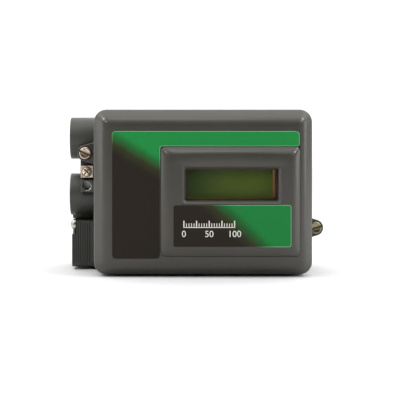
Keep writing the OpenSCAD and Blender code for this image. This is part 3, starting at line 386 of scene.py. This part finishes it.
def solder_mask(name):
    """Green board with lighter tracks running both ways and a scatter of tinned pads."""
    p = Paint(name)
    x, _, z = p.axes()
    step = p.noise(11, 0).math("SNAP", 0.2)
    lane = (z + step * (6 * MM)).wave(1.1)
    rung = (x + step * (5 * MM)).wave(1.4)
    sideways = p.noise(16, 0).over(0.5)
    track = (lane.over(0.72) * sideways).most(rung.over(0.74) * (1 - sideways))
    pad = p.add("TexVoronoi", {}, {"Vector": p.place, "Scale": 330.0}).under(0.16)
    tone = p.mix(track, screen(20, 74, 47), screen(38, 104, 66))
    return p.finish(
        Base_Color=p.mix(pad, tone, screen(176, 170, 150)),
        Roughness=0.34 + 0.12 * p.noise(10),
        Metallic=0.8 * pad,
        Normal=p.bump(track + pad, 0.3, 0.05),
    )


def wound_wire(name):
    """Enamelled copper wire, wound in close turns along Y."""
    p = Paint(name)
    turn = p.axes()[1].wave(0.18)
    # Each turn is painted dark where it meets the next and light on its crest: painted shade and
    # painted highlight
    return p.finish(
        Base_Color=p.mix(turn, screen(92, 44, 20), screen(190, 104, 54)),
        Metallic=0.85,
        Roughness=0.3 + 0.15 * p.noise(3),
        Normal=p.bump(turn, 0.6, 0.1),
    )


def flat_cable(name):
    """Grey ribbon of parallel cores, with a red one at its lower edge."""
    p = Paint(name)
    z = p.axes()[2]
    core = z.wave(0.635)
    # Each core is painted dark where it meets the next and light on its crest: painted shade and
    # painted highlight
    tone = p.mix(core, screen(112, 112, 110), screen(168, 168, 164))
    return p.finish(
        Base_Color=p.mix(z.under(-8.8 * MM), tone, screen(150, 40, 36)),
        Roughness=0.45 + 0.1 * p.noise(4),
        Normal=p.bump(core, 0.7, 0.2),
    )


def blank_display(name, left, right, foot, top):
    """Unlit display: olive field, lighter and warmer to the right as a painted reflection, with a
    painted shadow below its top and the frame's painted glints at right and foot.
    """
    p = Paint(name)
    x, _, z = p.axes()
    share = (x - left * MM) / ((right - left) * MM)
    # Lighter and warmer to the right: a painted reflection on the olive field
    tone = p.ramp(
        share, (0, screen(50, 74, 19)), (0.45, screen(86, 110, 36)), (1, screen(96, 114, 28))
    )
    # Painted shadow under the top of the opening
    shadow = z.rise((top - 9) * MM, (top + 1) * MM)
    tone = p.mix(shadow * 0.6, tone, screen(26, 32, 16))
    # Painted glint of the frame at the right
    tone = p.mix(x.over((right - 0.7) * MM), tone, screen(196, 136, 92))
    # Painted glint of the frame along the foot
    tone = p.mix(z.under((foot + 1.1) * MM), tone, screen(128, 112, 46))
    return p.finish(
        Base_Color=p.mix(p.noise(0.7, 1) * 0.1, tone, screen(96, 110, 50)),
        Roughness=0.3 + 0.1 * p.noise(20),
        Specular_IOR_Level=0.2,
    )


def clear_pane(name):
    """Thin pane: mostly open, with a weak sheen and a few faint smears."""
    p = Paint(name)
    smear = p.noise(20, 4, 0.6).rise(0.45, 0.8)
    return p.finish(
        Base_Color=p.mix(smear, screen(30, 36, 20), screen(60, 66, 44)),
        Roughness=0.06 + 0.12 * smear,
        Specular_IOR_Level=0.3,
        Alpha=0.05 + 0.04 * smear,
    )


# Materials of this part

cover_grey = screen(53, 51, 44)
case_grey = screen(60, 60, 55)
cover_plastic = moulded_plastic("cover_plastic", cover_grey, 0.42, gloss=0.3)
black_plastic = moulded_plastic("black_plastic", (0.02, 0.02, 0.022), 0.5)
green_plastic = moulded_plastic("terminal_plastic", (0.03, 0.14, 0.06), 0.4)
light_plastic = moulded_plastic("light_plastic", (0.62, 0.6, 0.52), 0.4)

# Threaded holes of the housing and the port block
conduits = [("x", -30, z, 9.4, -98, -70) for z in (39.2, -3.8)]
rear_bolts = [("y", x, z, 3.5, -14.2, 1) for x in (-38, 38) for z in (-30, 30)]
bonding = [("y", EARTH_X, BONDING_Z, 3.4, -51, -38)]
ports = [("x", -21, z, 5.65, -97, -80) for z in (-48.7, -32.2)]
# The bonding boss is scraped on its face, and a painted shadow lies under it
scraped = ((-89, -51, -2), (-76, -49.3, 7.6), 0.1, 1.5)
shadow_under_boss = ((-87.6, -49.4, -5.2), (-76, -30, -1.6), 2.2, 0.15)
case_paint = cast_paint(
    "case_paint", case_grey, conduits + rear_bolts + bonding, 1.8, (scraped, shadow_under_boss)
)
port_paint = cast_paint("port_paint", shade(case_grey, 0.85), ports, 1.4)

# Where the screws' slots are painted with shade: behind these Y places on the cover screws, and inside
# these boxes on the port screws
cover_slot = (-60.1, -59.5)
dome_slots = []
for seat, y, z in DOME_SEATS:
    half = DOME_SLOT / 2 + 0.01
    dome_slots.append(((seat - 3.7, y - half, z - 5), (seat - 1, y + half, z + 5)))
steel = worked_metal("steel", (0.62, 0.62, 0.6), 0.3)
# The two cover screws are alike: their two colours are a lit and a shaded copy of one plating, painted
# light on the left one and painted shade on the right one
nickel = worked_metal("nickel", (0.27, 0.235, 0.14), 0.3, slot=cover_slot)
warm_nickel = worked_metal("warm_nickel", (0.5, 0.4, 0.3), 0.3, slot=cover_slot)
dull_steel = worked_metal("dull_steel", (0.5, 0.46, 0.39), 0.24, boxes=dome_slots)
# The earth screw's cross is painted with shade behind its Y place
earth_steel = worked_metal(
    "earth_steel", (0.95, 0.77, 0.58), 0.26, slot=(-51, -50.6), bright=0.55
)
# On the clamp a painted shade lies in a ring around the earth screw's head
clamp_steel = worked_metal(
    "clamp_steel", (0.95, 0.79, 0.62), 0.26, head=(EARTH_X, EARTH_Z, EARTH_HEAD), bright=0.25
)
iron = worked_metal("soft_iron", (0.32, 0.33, 0.34), 0.42)
brass = worked_metal("brass", (0.7, 0.5, 0.2), 0.28)
bronze = worked_metal("display_frame", (0.42, 0.28, 0.14), 0.35)
aluminium = worked_metal("machined_aluminium", (0.6, 0.6, 0.59), 0.38)

rubber = soft_rubber("rubber", (0.015, 0.015, 0.015))
brown_rubber = soft_rubber("brown_rubber", (0.05, 0.02, 0.012))
board_green = solder_mask("circuit_board")
copper = wound_wire("coil_wire")
ribbon_grey = flat_cable("ribbon")
display = blank_display("blank_display", *WINDOW)
pane = clear_pane("clear_pane")

# Label colours from the dark half to the green one. The upper strip's greens are a lighter copy as
# painted light, and the lighter colours along each film's edge are a painted highlight
dark, olive = screen(38, 31, 25), screen(50, 54, 30)
leaf, green = screen(32, 99, 47), screen(26, 129, 60)
panel_colours = (dark, olive, leaf, green)
strip_colours = (dark, olive, shade(leaf, 1.16), shade(green, 1.2))
edge_highlight_colours = (
    screen(60, 54, 48), screen(84, 86, 66), screen(104, 160, 112), screen(132, 196, 148)
)
strip_fade = ((-64.3, 36.0), (0.504, 0.864), 7.5)
panel_fade = ((8.2, -10.0), (0.682, 0.732), 8)
strip_film = overlay("front_film", *strip_fade, strip_colours)
panel_film = overlay("panel_film", *panel_fade, panel_colours)
strip_edge_highlight = overlay("front_film_edge_highlight", *strip_fade, edge_highlight_colours)
panel_edge_highlight = overlay("panel_film_edge_highlight", *panel_fade, edge_highlight_colours)
white_ink = plain_ink("white_ink", screen(228, 228, 222))

for material, names in (
    (case_paint, "housing"),
    (port_paint, "port_block"),
    (rubber, "cover_gasket port_gasket ip_gasket relay_gasket lower_diaphragm upper_diaphragm"),
    (brown_rubber, "window_seal"),
    (warm_nickel, "cover_screw_left"),
    (nickel, "cover_screw_right"),
    (earth_steel, "earth_screw"),
    (clamp_steel, "earth_clamp"),
    (dull_steel, "port_screws"),
    (steel, "screw_clip_left screw_clip_right terminal_screws inner_earth_screw display_screws"),
    (steel, "ip_flapper ip_pin ip_screws relay_spring relay_screws pressure_sensor"),
    (iron, "ip_yoke pole_pieces"),
    (bronze, "lcd_frame"),
    (brass, "supply_screen board_standoffs display_standoffs ip_nozzle relay_poppet relay_stem"),
    (black_plastic, "board_chips switch_bodies mode_switch position_sensor vent relay_cap"),
    (green_plastic, "terminal_block"),
    (light_plastic, "button_one button_two button_three button_four mode_slider"),
    (light_plastic, "ribbon_connectors lcd_backlight"),
    (aluminium, "ip_base relay_base relay_spacer"),
    (board_green, "main_board display_board"),
    (copper, "ip_coil"),
    (ribbon_grey, "ribbon_cable"),
    (display, "lcd_glass"),
    (pane, "display_window"),
):
    for name in names.split():
        slots = nodes[name].data.materials
        slots.clear()
        slots.append(material)


# Shaping

CORNER_STEPS, SIDE_CUTS = 8, 15


def rounded(bm, geom, radius, steps, affect="EDGES"):
    """Rounds edges, or corners of a flat face."""
    bmesh.ops.bevel(
        bm, geom=geom, offset=radius * MM, offset_type="OFFSET", segments=steps, profile=0.5,
        affect=affect, material=-1, clamp_overlap=False,
    )


def ring(left, right, foot, top, y, radius, bow=(0, 0)):
    """Points of a loop that faces front: a rectangle with round corners. Its upper and its lower
    side bow outwards by the two given heights."""
    bm = bmesh.new()
    places = ((left, foot), (right, foot), (right, top), (left, top))
    corners = [bm.verts.new((x * MM, y * MM, z * MM)) for x, z in places]
    bm.faces.new(corners)
    rounded(bm, corners, radius, CORNER_STEPS, "VERTICES")
    face = bm.faces[:][0]
    straight = sorted(face.edges, key=lambda e: e.calc_length())[-4:]
    bmesh.ops.subdivide_edges(bm, edges=straight, cuts=SIDE_CUTS)
    points = [v.co.copy() for v in face.verts]
    bm.free()
    mid_x, half = (left + right) / 2 * MM, (right - left) / 2 * MM
    mid_z = (foot + top) / 2 * MM
    for point in points:
        share = 1 - ((point.x - mid_x) / half) ** 2
        point.z += (bow[0] if point.z > mid_z else -bow[1]) * MM * share
    return points


def skin(bm, loops):
    """Joins the loops one after another, and the last to the first, point to point.
    The bridge operator twists loops that don't share a centre."""
    rows = [[bm.verts.new(point) for point in loop] for loop in loops]
    for one, two in zip(rows, rows[1:] + rows[:1]):
        for i in range(len(one)):
            bm.faces.new((one[i - 1], one[i], two[i], two[i - 1]))


def piece(name, bm, body, materials, angle=30, replaced=()):
    """Turns a finished bmesh into an object that rides on a body. Edges over the angle stay sharp."""
    mesh = bpy.data.meshes.new(name)
    bmesh.ops.recalc_face_normals(bm, faces=bm.faces)
    for f in bm.faces:
        f.smooth = True
    bm.to_mesh(mesh)
    bm.free()
    mesh.set_sharp_from_angle(angle=math.radians(angle))
    made = bpy.data.objects.new(name, mesh)
    bpy.context.scene.collection.objects.link(made)
    for material in materials:
        mesh.materials.append(material)
    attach(made, body)
    if replaced:
        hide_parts(*replaced)
    return made


def cut(bm, cutter):
    """Takes the cutter's solid out of the other."""
    objects = []
    for part in (bm, cutter):
        bmesh.ops.recalc_face_normals(part, faces=part.faces)
        mesh = bpy.data.meshes.new("cutting")
        part.to_mesh(mesh)
        part.free()
        made = bpy.data.objects.new("cutting", mesh)
        bpy.context.scene.collection.objects.link(made)
        objects.append(made)
    boolean = objects[0].modifiers.new("cut", "BOOLEAN")
    boolean.operation = "DIFFERENCE"
    boolean.solver = "EXACT"
    boolean.object = objects[1]
    depsgraph = bpy.context.evaluated_depsgraph_get()
    left = bmesh.new()
    left.from_mesh(objects[0].evaluated_get(depsgraph).data)
    for made in objects:
        mesh = made.data
        bpy.data.objects.remove(made)
        bpy.data.meshes.remove(mesh)
    return left


def join(bm, other):
    """Adds the other bmesh to the first."""
    mesh = bpy.data.meshes.new("joining")
    other.to_mesh(mesh)
    other.free()
    bm.from_mesh(mesh)
    bpy.data.meshes.remove(mesh)


def copied(node, merge):
    """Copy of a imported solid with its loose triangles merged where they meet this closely."""
    bm = bmesh.new()
    bm.from_mesh(nodes[node].data)
    bmesh.ops.remove_doubles(bm, verts=bm.verts, dist=merge * MM)
    return bm


def rod(radius, front, back, x, z, steps=48, front_radius=None):
    """Solid cylinder along Y, or a cone if it has another radius in front."""
    bm = bmesh.new()
    bmesh.ops.create_cone(
        bm, cap_ends=True, segments=steps, radius1=radius * MM,
        radius2=(front_radius or radius) * MM, depth=(back - front) * MM,
    )
    bmesh.ops.rotate(bm, verts=bm.verts, matrix=Matrix.Rotation(math.pi / 2, 3, "X"))
    bmesh.ops.translate(bm, verts=bm.verts, vec=(x * MM, (front + back) / 2 * MM, z * MM))
    return bm


# Front cover: shell, raised panel with its window funnel, and two ears

# Outline of the rim and of the sides in front of it, with the radius of their corners
RIM, RIM_CORNER = (-77.8, 77.8, -59.0, 59.0), 9.6
SIDES, SIDE_CORNER = (-77.1, 77.1, -58.3, 58.3), 8.9
# Wall, and the bend between front and sides on the inside
WALL, INNER_BEND = 3.5, 6
# Panel: radius of its corners, width of its edge, depth of its root in the face, and the bow of
# its upper and lower side at foot and top
PANEL_CORNER, PANEL_SLOPE, PANEL_ROOT = 3, 6, 1.2
FOOT_BOW, TOP_BOW = (0.4, 0.2), (1.2, 0.6)
# Groove around the panel's foot: how far outside it, how deep. Hole behind the panel: inset, corners
GROOVE = ((0.6, 0), (0.5, 0.1), (0.45, 0.6))
HOLE_INSET, HOLE_CORNER = 2, 1.5
# Panel edge from its foot: share of its width, share of its height
PANEL_EDGE = (
    (0.14, 0.2), (0.34, 0.46), (0.52, 0.66), (0.66, 0.79),
    (0.78, 0.88), (0.9, 0.945), (1, 0.983), (1.1, 1),
)
# Lip of the opening: how far outside it, how far behind the panel's front
LIP = ((2.6, 0), (2.2, 0.08), (1.9, 0.32), (0.35, 1.85), (0.1, 2.2), (0, 2.6))
# Seat of the pane: depth, its reach and its wall's reach beyond the field. Corners of seat and opening
PANE_SEAT, PANE_REACH, PANE_WALL = 2.6, 3, 5
WINDOW_CORNER, WALL_CORNER = 0.8, 1.2
# Ear: radius, thickness, and how far out and how tall its root is
EAR, EAR_THICK, EAR_ROOT, EAR_TALL = 6, 5.5, 75.4, 18
# Steps of its screw hole: radius, and start and end from the rim
EAR_HOLES = ((2.8, -8, 2), (5.1, -8, -4), (4.5, -1.2, 2))


def grown(box, by):
    return box[0] - by, box[1] + by, box[2] - by, box[3] + by


def edge_band():
    """Inset and depth along the cover's front edge: a turn, a flat at half a right angle and a
    wider turn."""
    flat, first, second = 4.0, 3.5, 11.0
    half = math.pi / 4
    points = []
    for i in range(6):
        a = half * i / 5
        points.append((first * (1 - math.cos(a)), -first * math.sin(a)))
    inset, depth = points[-1][0] + flat, points[-1][1] - flat
    for i in range(10):
        a = half + half * i / 9
        points.append((
            inset + second * (math.cos(half) - math.cos(a)),
            depth - second * (math.sin(a) - math.sin(half)),
        ))
    return [(out, back - points[-1][1]) for out, back in points]


def cover_shell(bm):
    """Loops from the rim over the front edge to the panel, and back along the inside."""
    loops = []
    for inset, ahead in ((0.5, 0), (0.1, 0.4), (0, 1)):
        loops.append(ring(*grown(RIM, -inset), RIM_Y - ahead, RIM_CORNER - inset))
    for inset, depth in edge_band():
        corner = max(SIDE_CORNER - 0.75 * inset, 1.2)
        loops.append(ring(*grown(SIDES, -inset), FACE_Y + depth, corner))
    for out, depth in GROOVE:
        loops.append(ring(*grown(PANEL, out), FACE_Y + depth, PANEL_CORNER + out, FOOT_BOW))
    for depth in (GROOVE[-1][1], WALL):
        loops.append(ring(*grown(PANEL, -HOLE_INSET), FACE_Y + depth, HOLE_CORNER))
    for turn in range(90, -1, -9):
        a = math.radians(turn)
        inset = WALL + INNER_BEND * (1 - math.cos(a))
        depth = WALL + INNER_BEND * (1 - math.sin(a))
        loops.append(ring(*grown(SIDES, -inset), FACE_Y + depth, max(SIDE_CORNER - inset, 0.4)))
    loops.append(ring(*grown(RIM, -WALL), RIM_Y, RIM_CORNER - WALL))
    skin(bm, loops)


def display_panel(bm):
    """Loops from the panel's foot over its edge, through the opening and back behind the pane."""
    root = FACE_Y + PANEL_ROOT
    loops = [ring(*PANEL, y, PANEL_CORNER, FOOT_BOW) for y in (root, FACE_Y)]
    for share, height in PANEL_EDGE:
        inner = grown(PANEL, -PANEL_SLOPE * share)
        bow = (TOP_BOW[0] * (0.35 + 0.65 * share), TOP_BOW[1] * share)
        loops.append(ring(*inner, FACE_Y + (TOP_Y - FACE_Y) * height, PANEL_CORNER + share, bow))
    for out, depth in LIP:
        loops.append(ring(*grown(OPENING, out), TOP_Y + depth, WINDOW_CORNER))
    loops.append(ring(*OPENING, SEAT_Y, WINDOW_CORNER))
    for y in (SEAT_Y, SEAT_Y + PANE_SEAT):
        loops.append(ring(*grown(WINDOW, PANE_REACH), y, WINDOW_CORNER))
    for y in (SEAT_Y + PANE_SEAT, root):
        loops.append(ring(*grown(WINDOW, PANE_WALL), y, WALL_CORNER))
    skin(bm, loops)


def ear(screw):
    """Ear around a cover screw, with its stepped hole."""
    x, _, z = middle(screw)
    front = RIM_Y - EAR_THICK
    bm = rod(EAR, front, RIM_Y, x, z)
    bmesh.ops.delete(bm, geom=bm.edges[:], context="EDGES_FACES")
    for y in (front, RIM_Y):
        for up in (-EAR_TALL / 2, EAR_TALL / 2):
            bm.verts.new((math.copysign(EAR_ROOT, x) * MM, y * MM, (z + up) * MM))
    hull = bmesh.ops.convex_hull(bm, input=bm.verts[:])
    spare = list(set(hull["geom_interior"] + hull["geom_unused"]))
    bmesh.ops.delete(bm, geom=spare, context="VERTS")
    bmesh.ops.dissolve_limit(bm, angle_limit=0.01, verts=bm.verts[:], edges=bm.edges[:])
    brim = [e for e in bm.edges if all(v.co.y < (front + 0.1) * MM for v in e.verts)]
    rounded(bm, brim, 0.7, 3)
    for radius, start, end in EAR_HOLES:
        bm = cut(bm, rod(radius, RIM_Y + start, RIM_Y + end, x, z))
    return bm


bm = bmesh.new()
cover_shell(bm)
display_panel(bm)
for screw in ("cover_screw_left", "cover_screw_right"):
    join(bm, ear(screw))
piece("cover_moulding", bm, "cover", [cover_plastic], 32, ["front_cover"])


# Cast pieces with their edges broken, as paint leaves them

BROKEN_FROM = math.radians(50)
WIDE_FACE = 300 * MM**2


def softened(name, node, body, material, width, cutter=None):
    """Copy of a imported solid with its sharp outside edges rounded. A cutter is taken out first."""
    bm = copied(node, 0.001)
    if cutter:
        bm = cut(bm, cutter)
    bmesh.ops.dissolve_limit(bm, angle_limit=math.radians(1), verts=bm.verts, edges=bm.edges)
    sharp = [
        e for e in bm.edges
        if len(e.link_faces) == 2 and e.is_convex and e.calc_face_angle() > BROKEN_FROM
    ]
    rounded(bm, sharp, width, 3)
    mesh = piece(name, bm, body, [material], 15, [node]).data
    # Wide flat faces keep their own shading up to their edges
    wide = {key for face in mesh.polygons if face.area > WIDE_FACE for key in face.edge_keys}
    for edge in mesh.edges:
        if edge.key in wide:
            edge.use_edge_sharp = True


# Chamfer of the bonding hole
chamfer = rod(2.5, -51, -48.9, EARTH_X, BONDING_Z, 64, 4.6)
softened("housing_casting", "housing", "case", case_paint, 0.5, chamfer)
softened("port_casting", "port_block", "case", port_paint, 0.3)


# Screws with heads in view


def turned(profile, place, axis):
    """Solid turned about an axis. The profile holds the radius and the place along the axis, from
    the tip to the crown."""
    bm = bmesh.new()
    line = []
    for radius, along in profile:
        point = Vector(place)
        point["xyz".index(axis)] = along
        point.z += radius
        line.append(bm.verts.new(point * MM))
    edges = [bm.edges.new(pair) for pair in zip(line, line[1:])]
    turn = Vector([float(a == axis) for a in "xyz"])
    bmesh.ops.spin(
        bm, geom=line + edges, cent=Vector(place) * MM, axis=turn, angle=2 * math.pi, steps=48,
        use_merge=True,
    )
    bmesh.ops.remove_doubles(bm, verts=bm.verts, dist=1e-7)
    return bm


def slotted(bm, place, sizes, angle=0):
    """Cuts a slot with these sizes along X, Y and Z, turned about Y, around a place."""
    slot = bmesh.new()
    bmesh.ops.create_cube(slot, size=1)
    bmesh.ops.scale(slot, verts=slot.verts, vec=Vector(sizes) * MM)
    turn = Matrix.Rotation(math.radians(angle), 3, "Y")
    bmesh.ops.rotate(slot, verts=slot.verts, matrix=turn)
    bmesh.ops.translate(slot, verts=slot.verts, vec=Vector(place) * MM)
    return cut(bm, slot)


def domed_screw(seat, y, z):
    """Screw that points right, with a domed head and an upright slot."""
    tip, rim, radius, high = -69.9, seat - 1.3, 4.5, 2.6
    crown = rim - high
    shank = [(0, tip), (1.7, tip), (2, tip - 0.3), (2, seat - 0.2)]
    head = [(2.2, seat), (radius - 0.2, seat), (radius, seat - 0.2)]
    for i in range(8):
        a = i * math.pi / 16
        head.append((radius * math.cos(a), rim - high * math.sin(a)))
    head.append((0, crown))
    bm = turned(shank + head, (0, y, z), "x")
    return slotted(bm, (crown, y, z), (3, DOME_SLOT, 12))


def cover_screw(node, angle):
    """Cheese head with a rounded rim around a slightly dished face."""
    (_, crown, _), (_, tip, _) = span(node)
    x, _, z = middle(node)
    seat = crown + 3.3
    shank = [(0, tip), (1.9, tip), (2.5, tip - 0.6), (2.5, seat)]
    head = [(4.4, seat), (4.6, seat - 0.2), (4.6, crown + 1.2), (4.5, crown + 0.7)]
    rim = [(4.25, crown + 0.3), (3.9, crown + 0.05), (3.6, crown)]
    face = [(3.3, crown + 0.08), (3.1, crown + 0.2), (0, crown + 0.2)]
    bm = turned(shank + head + rim + face, (x, 0, z), "y")
    return slotted(bm, (x, crown, z), (12, 2.2, 1.15), angle)


def earth_head():
    """Low domed head with a cross that runs out to its rim."""
    tip, seat, crown, bite = -38, -49.2, -51.83, 0.03
    shank = [(0, tip), (1.6, tip), (2, tip - 0.4), (2, seat)]
    head = [(3.2, seat), (EARTH_HEAD, seat - 0.2), (EARTH_HEAD, seat - 1.2)]
    dome = [(3.2, seat - 1.7), (2.7, seat - 2.2), (1.8, seat - 2.5), (0, crown)]
    bm = turned(shank + head + dome, (EARTH_X, 0, EARTH_Z), "y")
    for angle in (45, 135):
        bm = slotted(bm, (EARTH_X, crown + bite, EARTH_Z), (6, 2.6, 0.9), angle)
    return bm


bm = bmesh.new()
for place in DOME_SEATS:
    join(bm, domed_screw(*place))
piece("port_domes", bm, "case", [dull_steel], 40, ["port_screws"])
for name, angle, metal in (("left", 24, warm_nickel), ("right", -18, nickel)):
    node = "cover_screw_" + name
    piece("screw_" + name, cover_screw(node, angle), node, [metal], 40, [node])
piece("earth_cross", earth_head(), "earth_screw", [earth_steel], 30, ["earth_screw"])


# Relay spring: a copy of the imported coil with a mesh of its own, riding on the case

front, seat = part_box("relay_spring")
coil = copied("relay_spring", 0.0001)
spring = piece("poppet_spring", coil, "case", [steel], 40, ["relay_spring"])
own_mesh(spring)


# Labels

FILM, FILM_SINK, FILM_HIGHLIGHT_EDGE = 0.22, 0.1, 0.32


def film(name, corners, face, materials, node):
    """Printed film on a face, with round corners and a fine painted highlight along its edge. It sinks
    a little into the face. Each corner holds x, z and its radius."""
    foot = face + FILM_SINK
    bm = bmesh.new()
    verts = [bm.verts.new((x * MM, foot * MM, z * MM)) for x, z, _ in corners]
    bm.faces.new(verts)
    for vert, (_, _, radius) in zip(verts, corners):
        rounded(bm, [vert], radius, 6, "VERTICES")
    if bm.faces[:][0].normal.y > 0:
        bmesh.ops.reverse_faces(bm, faces=bm.faces)
    made = bmesh.ops.extrude_face_region(bm, geom=bm.faces[:])
    top = [g for g in made["geom"] if isinstance(g, bmesh.types.BMVert)]
    bmesh.ops.translate(bm, verts=top, vec=(0, -FILM * MM, 0))
    bm.normal_update()
    front = [f for f in bm.faces if all(v.co.y < (foot - FILM / 2) * MM for v in f.verts)]
    bmesh.ops.inset_region(bm, faces=front, thickness=FILM_HIGHLIGHT_EDGE * MM, use_even_offset=True)
    # The sides and the ring inside the edge take the painted highlight, the front within it the print
    for f in bm.faces:
        f.material_index = 1
    for f in front:
        f.material_index = 0
    piece(name, bm, "cover", materials, replaced=[node])


def strip_corners():
    """Column on the left and strip along the top, around the display panel."""
    left, right, foot, top = -64.0, 66.4, -46.2, 42.6
    inner_x, inner_z = PANEL[0] - 0.7, PANEL[3] + 0.7
    return (
        (left, top, 2.6), (right, top, 2.6), (right, inner_z, 1.2),
        (inner_x, inner_z, 1.5), (inner_x, foot, 2.6), (left, foot, 2.6),
    )


def panel_corners():
    (left, _, foot), (right, _, top) = span("display_label")
    return [(x, z, 1.4) for x, z in ((left, top), (right, top), (right, foot), (left, foot))]


film("front_film", strip_corners(), FACE_Y, [strip_film, strip_edge_highlight], "front_label")
film("panel_film", panel_corners(), TOP_Y, [panel_film, panel_edge_highlight], "display_label")


# Scale with plain numbers, where the lower label is dark

INK = 0.004
INK_Y = TOP_Y + FILM_SINK - FILM - INK
SCALE_LEFT, SCALE_FOOT, MARK_STEP = -14.2, -23.6, 1.75
MARK, LONG_MARK = (0.5, 2.4), (0.75, 4.2)
LINE_FOOT, LINE = -24.3, 0.5
FIGURE_FOOT, FIGURE = -30.6, 4.4


def figure(word, x):
    """Plain number in ink, centred on x."""
    curve = bpy.data.curves.new("figure", "FONT")
    curve.body = word
    # Type size whose figures have the wanted height
    curve.size = FIGURE * 1.42 * MM
    curve.extrude = INK * MM
    curve.align_x = "CENTER"
    holder = bpy.data.objects.new("figure", curve)
    mesh = bpy.data.meshes.new_from_object(holder)
    bpy.data.objects.remove(holder)
    bpy.data.curves.remove(curve)
    bm = bmesh.new()
    bm.from_mesh(mesh)
    bpy.data.meshes.remove(mesh)
    bmesh.ops.rotate(bm, verts=bm.verts, matrix=Matrix.Rotation(math.pi / 2, 3, "X"))
    bmesh.ops.translate(bm, verts=bm.verts, vec=(x * MM, INK_Y * MM, FIGURE_FOOT * MM))
    return bm


def stroke(x, foot, wide, high):
    """Straight stroke of ink, centred on x."""
    bm = bmesh.new()
    bmesh.ops.create_cube(bm, size=1)
    bmesh.ops.scale(bm, verts=bm.verts, vec=(wide * MM, 2 * INK * MM, high * MM))
    bmesh.ops.translate(bm, verts=bm.verts, vec=(x * MM, INK_Y * MM, (foot + high / 2) * MM))
    return bm


marks = [SCALE_LEFT + MARK_STEP * i for i in range(21)]
bm = bmesh.new()
for i, x in enumerate(marks):
    join(bm, stroke(x, SCALE_FOOT, *(MARK if i % 5 else LONG_MARK)))
join(bm, stroke(marks[10], LINE_FOOT, marks[20] - marks[0] + LONG_MARK[0], LINE))
for word, i in (("0", 0), ("50", 10), ("100", 20)):
    join(bm, figure(word, marks[i]))
piece("scale_ink", bm, "cover", [white_ink])


# Camera, floor and light

camera = bpy.data.objects.new("camera", bpy.data.cameras.new("camera"))
bpy.context.scene.collection.objects.link(camera)
bpy.context.scene.camera = camera
camera.location = (-0.047, -0.684, 0.0245)
camera.rotation_euler = (math.pi / 2, 0, 0)
# The picture spans this width at this distance
PICTURE_WIDE, PICTURE_FAR = 282.56, 600
camera.data.sensor_width = 36
camera.data.lens = camera.data.sensor_width * PICTURE_FAR / PICTURE_WIDE
camera.data.shift_x = 0.159
camera.data.shift_y = -0.107
camera.data.clip_start = 0.05

bm = bmesh.new()
bmesh.ops.create_grid(bm, x_segments=1, y_segments=1, size=6)
bmesh.ops.translate(bm, verts=bm.verts, vec=(0, 0, cad_low.z - 0.5 * MM))
floor = bpy.data.objects.new("floor", bpy.data.meshes.new("floor"))
bm.to_mesh(floor.data)
bm.free()
bpy.context.scene.collection.objects.link(floor)
p = Paint("pale_floor")
pale = p.mix(p.noise(400), (0.7, 0.7, 0.7), (0.72, 0.72, 0.72))
floor.data.materials.append(p.finish(Base_Color=pale, Roughness=0.9))

AIM = Vector((0, -0.08, 0))


def soft_light(name, place, size, watts):
    """Round area light that shines on the front of the part."""
    light = bpy.data.lights.new(name, "AREA")
    light.shape = "DISK"
    light.size = size
    light.energy = watts
    lamp = bpy.data.objects.new(name, light)
    bpy.context.scene.collection.objects.link(lamp)
    lamp.location = place
    lamp.rotation_euler = (AIM - Vector(place)).to_track_quat("-Z", "Y").to_euler()


soft_light("upper_left", (-0.85, -0.35, 0.85), 0.3, 3.6)
soft_light("upper_right", (0.85, -0.35, 0.85), 0.3, 3.6)
soft_light("upper_front", (0, -0.55, 1.0), 0.4, 0.8)
# Small lights that glint in the corners of the display panel
soft_light("corner_left", (-0.8, -0.98, 0.8), 0.16, 1.9)
soft_light("corner_right", (0.97, -0.81, 0.81), 0.16, 2.1)
soft_light("left", (-1.1, -0.2, 0.2), 0.5, 1.7)
soft_light("right", (1.1, -0.2, 0.2), 0.5, 2)
bpy.context.scene.view_settings.view_transform = "Standard"

# The studio is white above and behind the object and dim in front of it
WHITE_SIDE, DIM, WHITE = (0, 0.5, 0.9), 0.035, 2.0
world = bpy.data.worlds.new("studio")
bpy.context.scene.world = world
world.use_nodes = True
sky = world.node_tree
direction = sky.nodes.new("ShaderNodeTexCoord")
lean = sky.nodes.new("ShaderNodeVectorMath")
lean.operation = "DOT_PRODUCT"
lean.inputs[1].default_value = WHITE_SIDE
level = sky.nodes.new("ShaderNodeMapRange")
level.interpolation_type = "SMOOTHSTEP"
for socket, value in zip(level.inputs, (0, 0, 0.9, DIM, WHITE)):
    socket.default_value = value
sky.links.new(direction.outputs["Generated"], lean.inputs[0])
sky.links.new(lean.outputs["Value"], level.inputs[0])
sky.links.new(level.outputs[0], sky.nodes["Background"].inputs["Strength"])
sky.nodes["Background"].inputs["Color"].default_value = (1, 1, 1, 1)
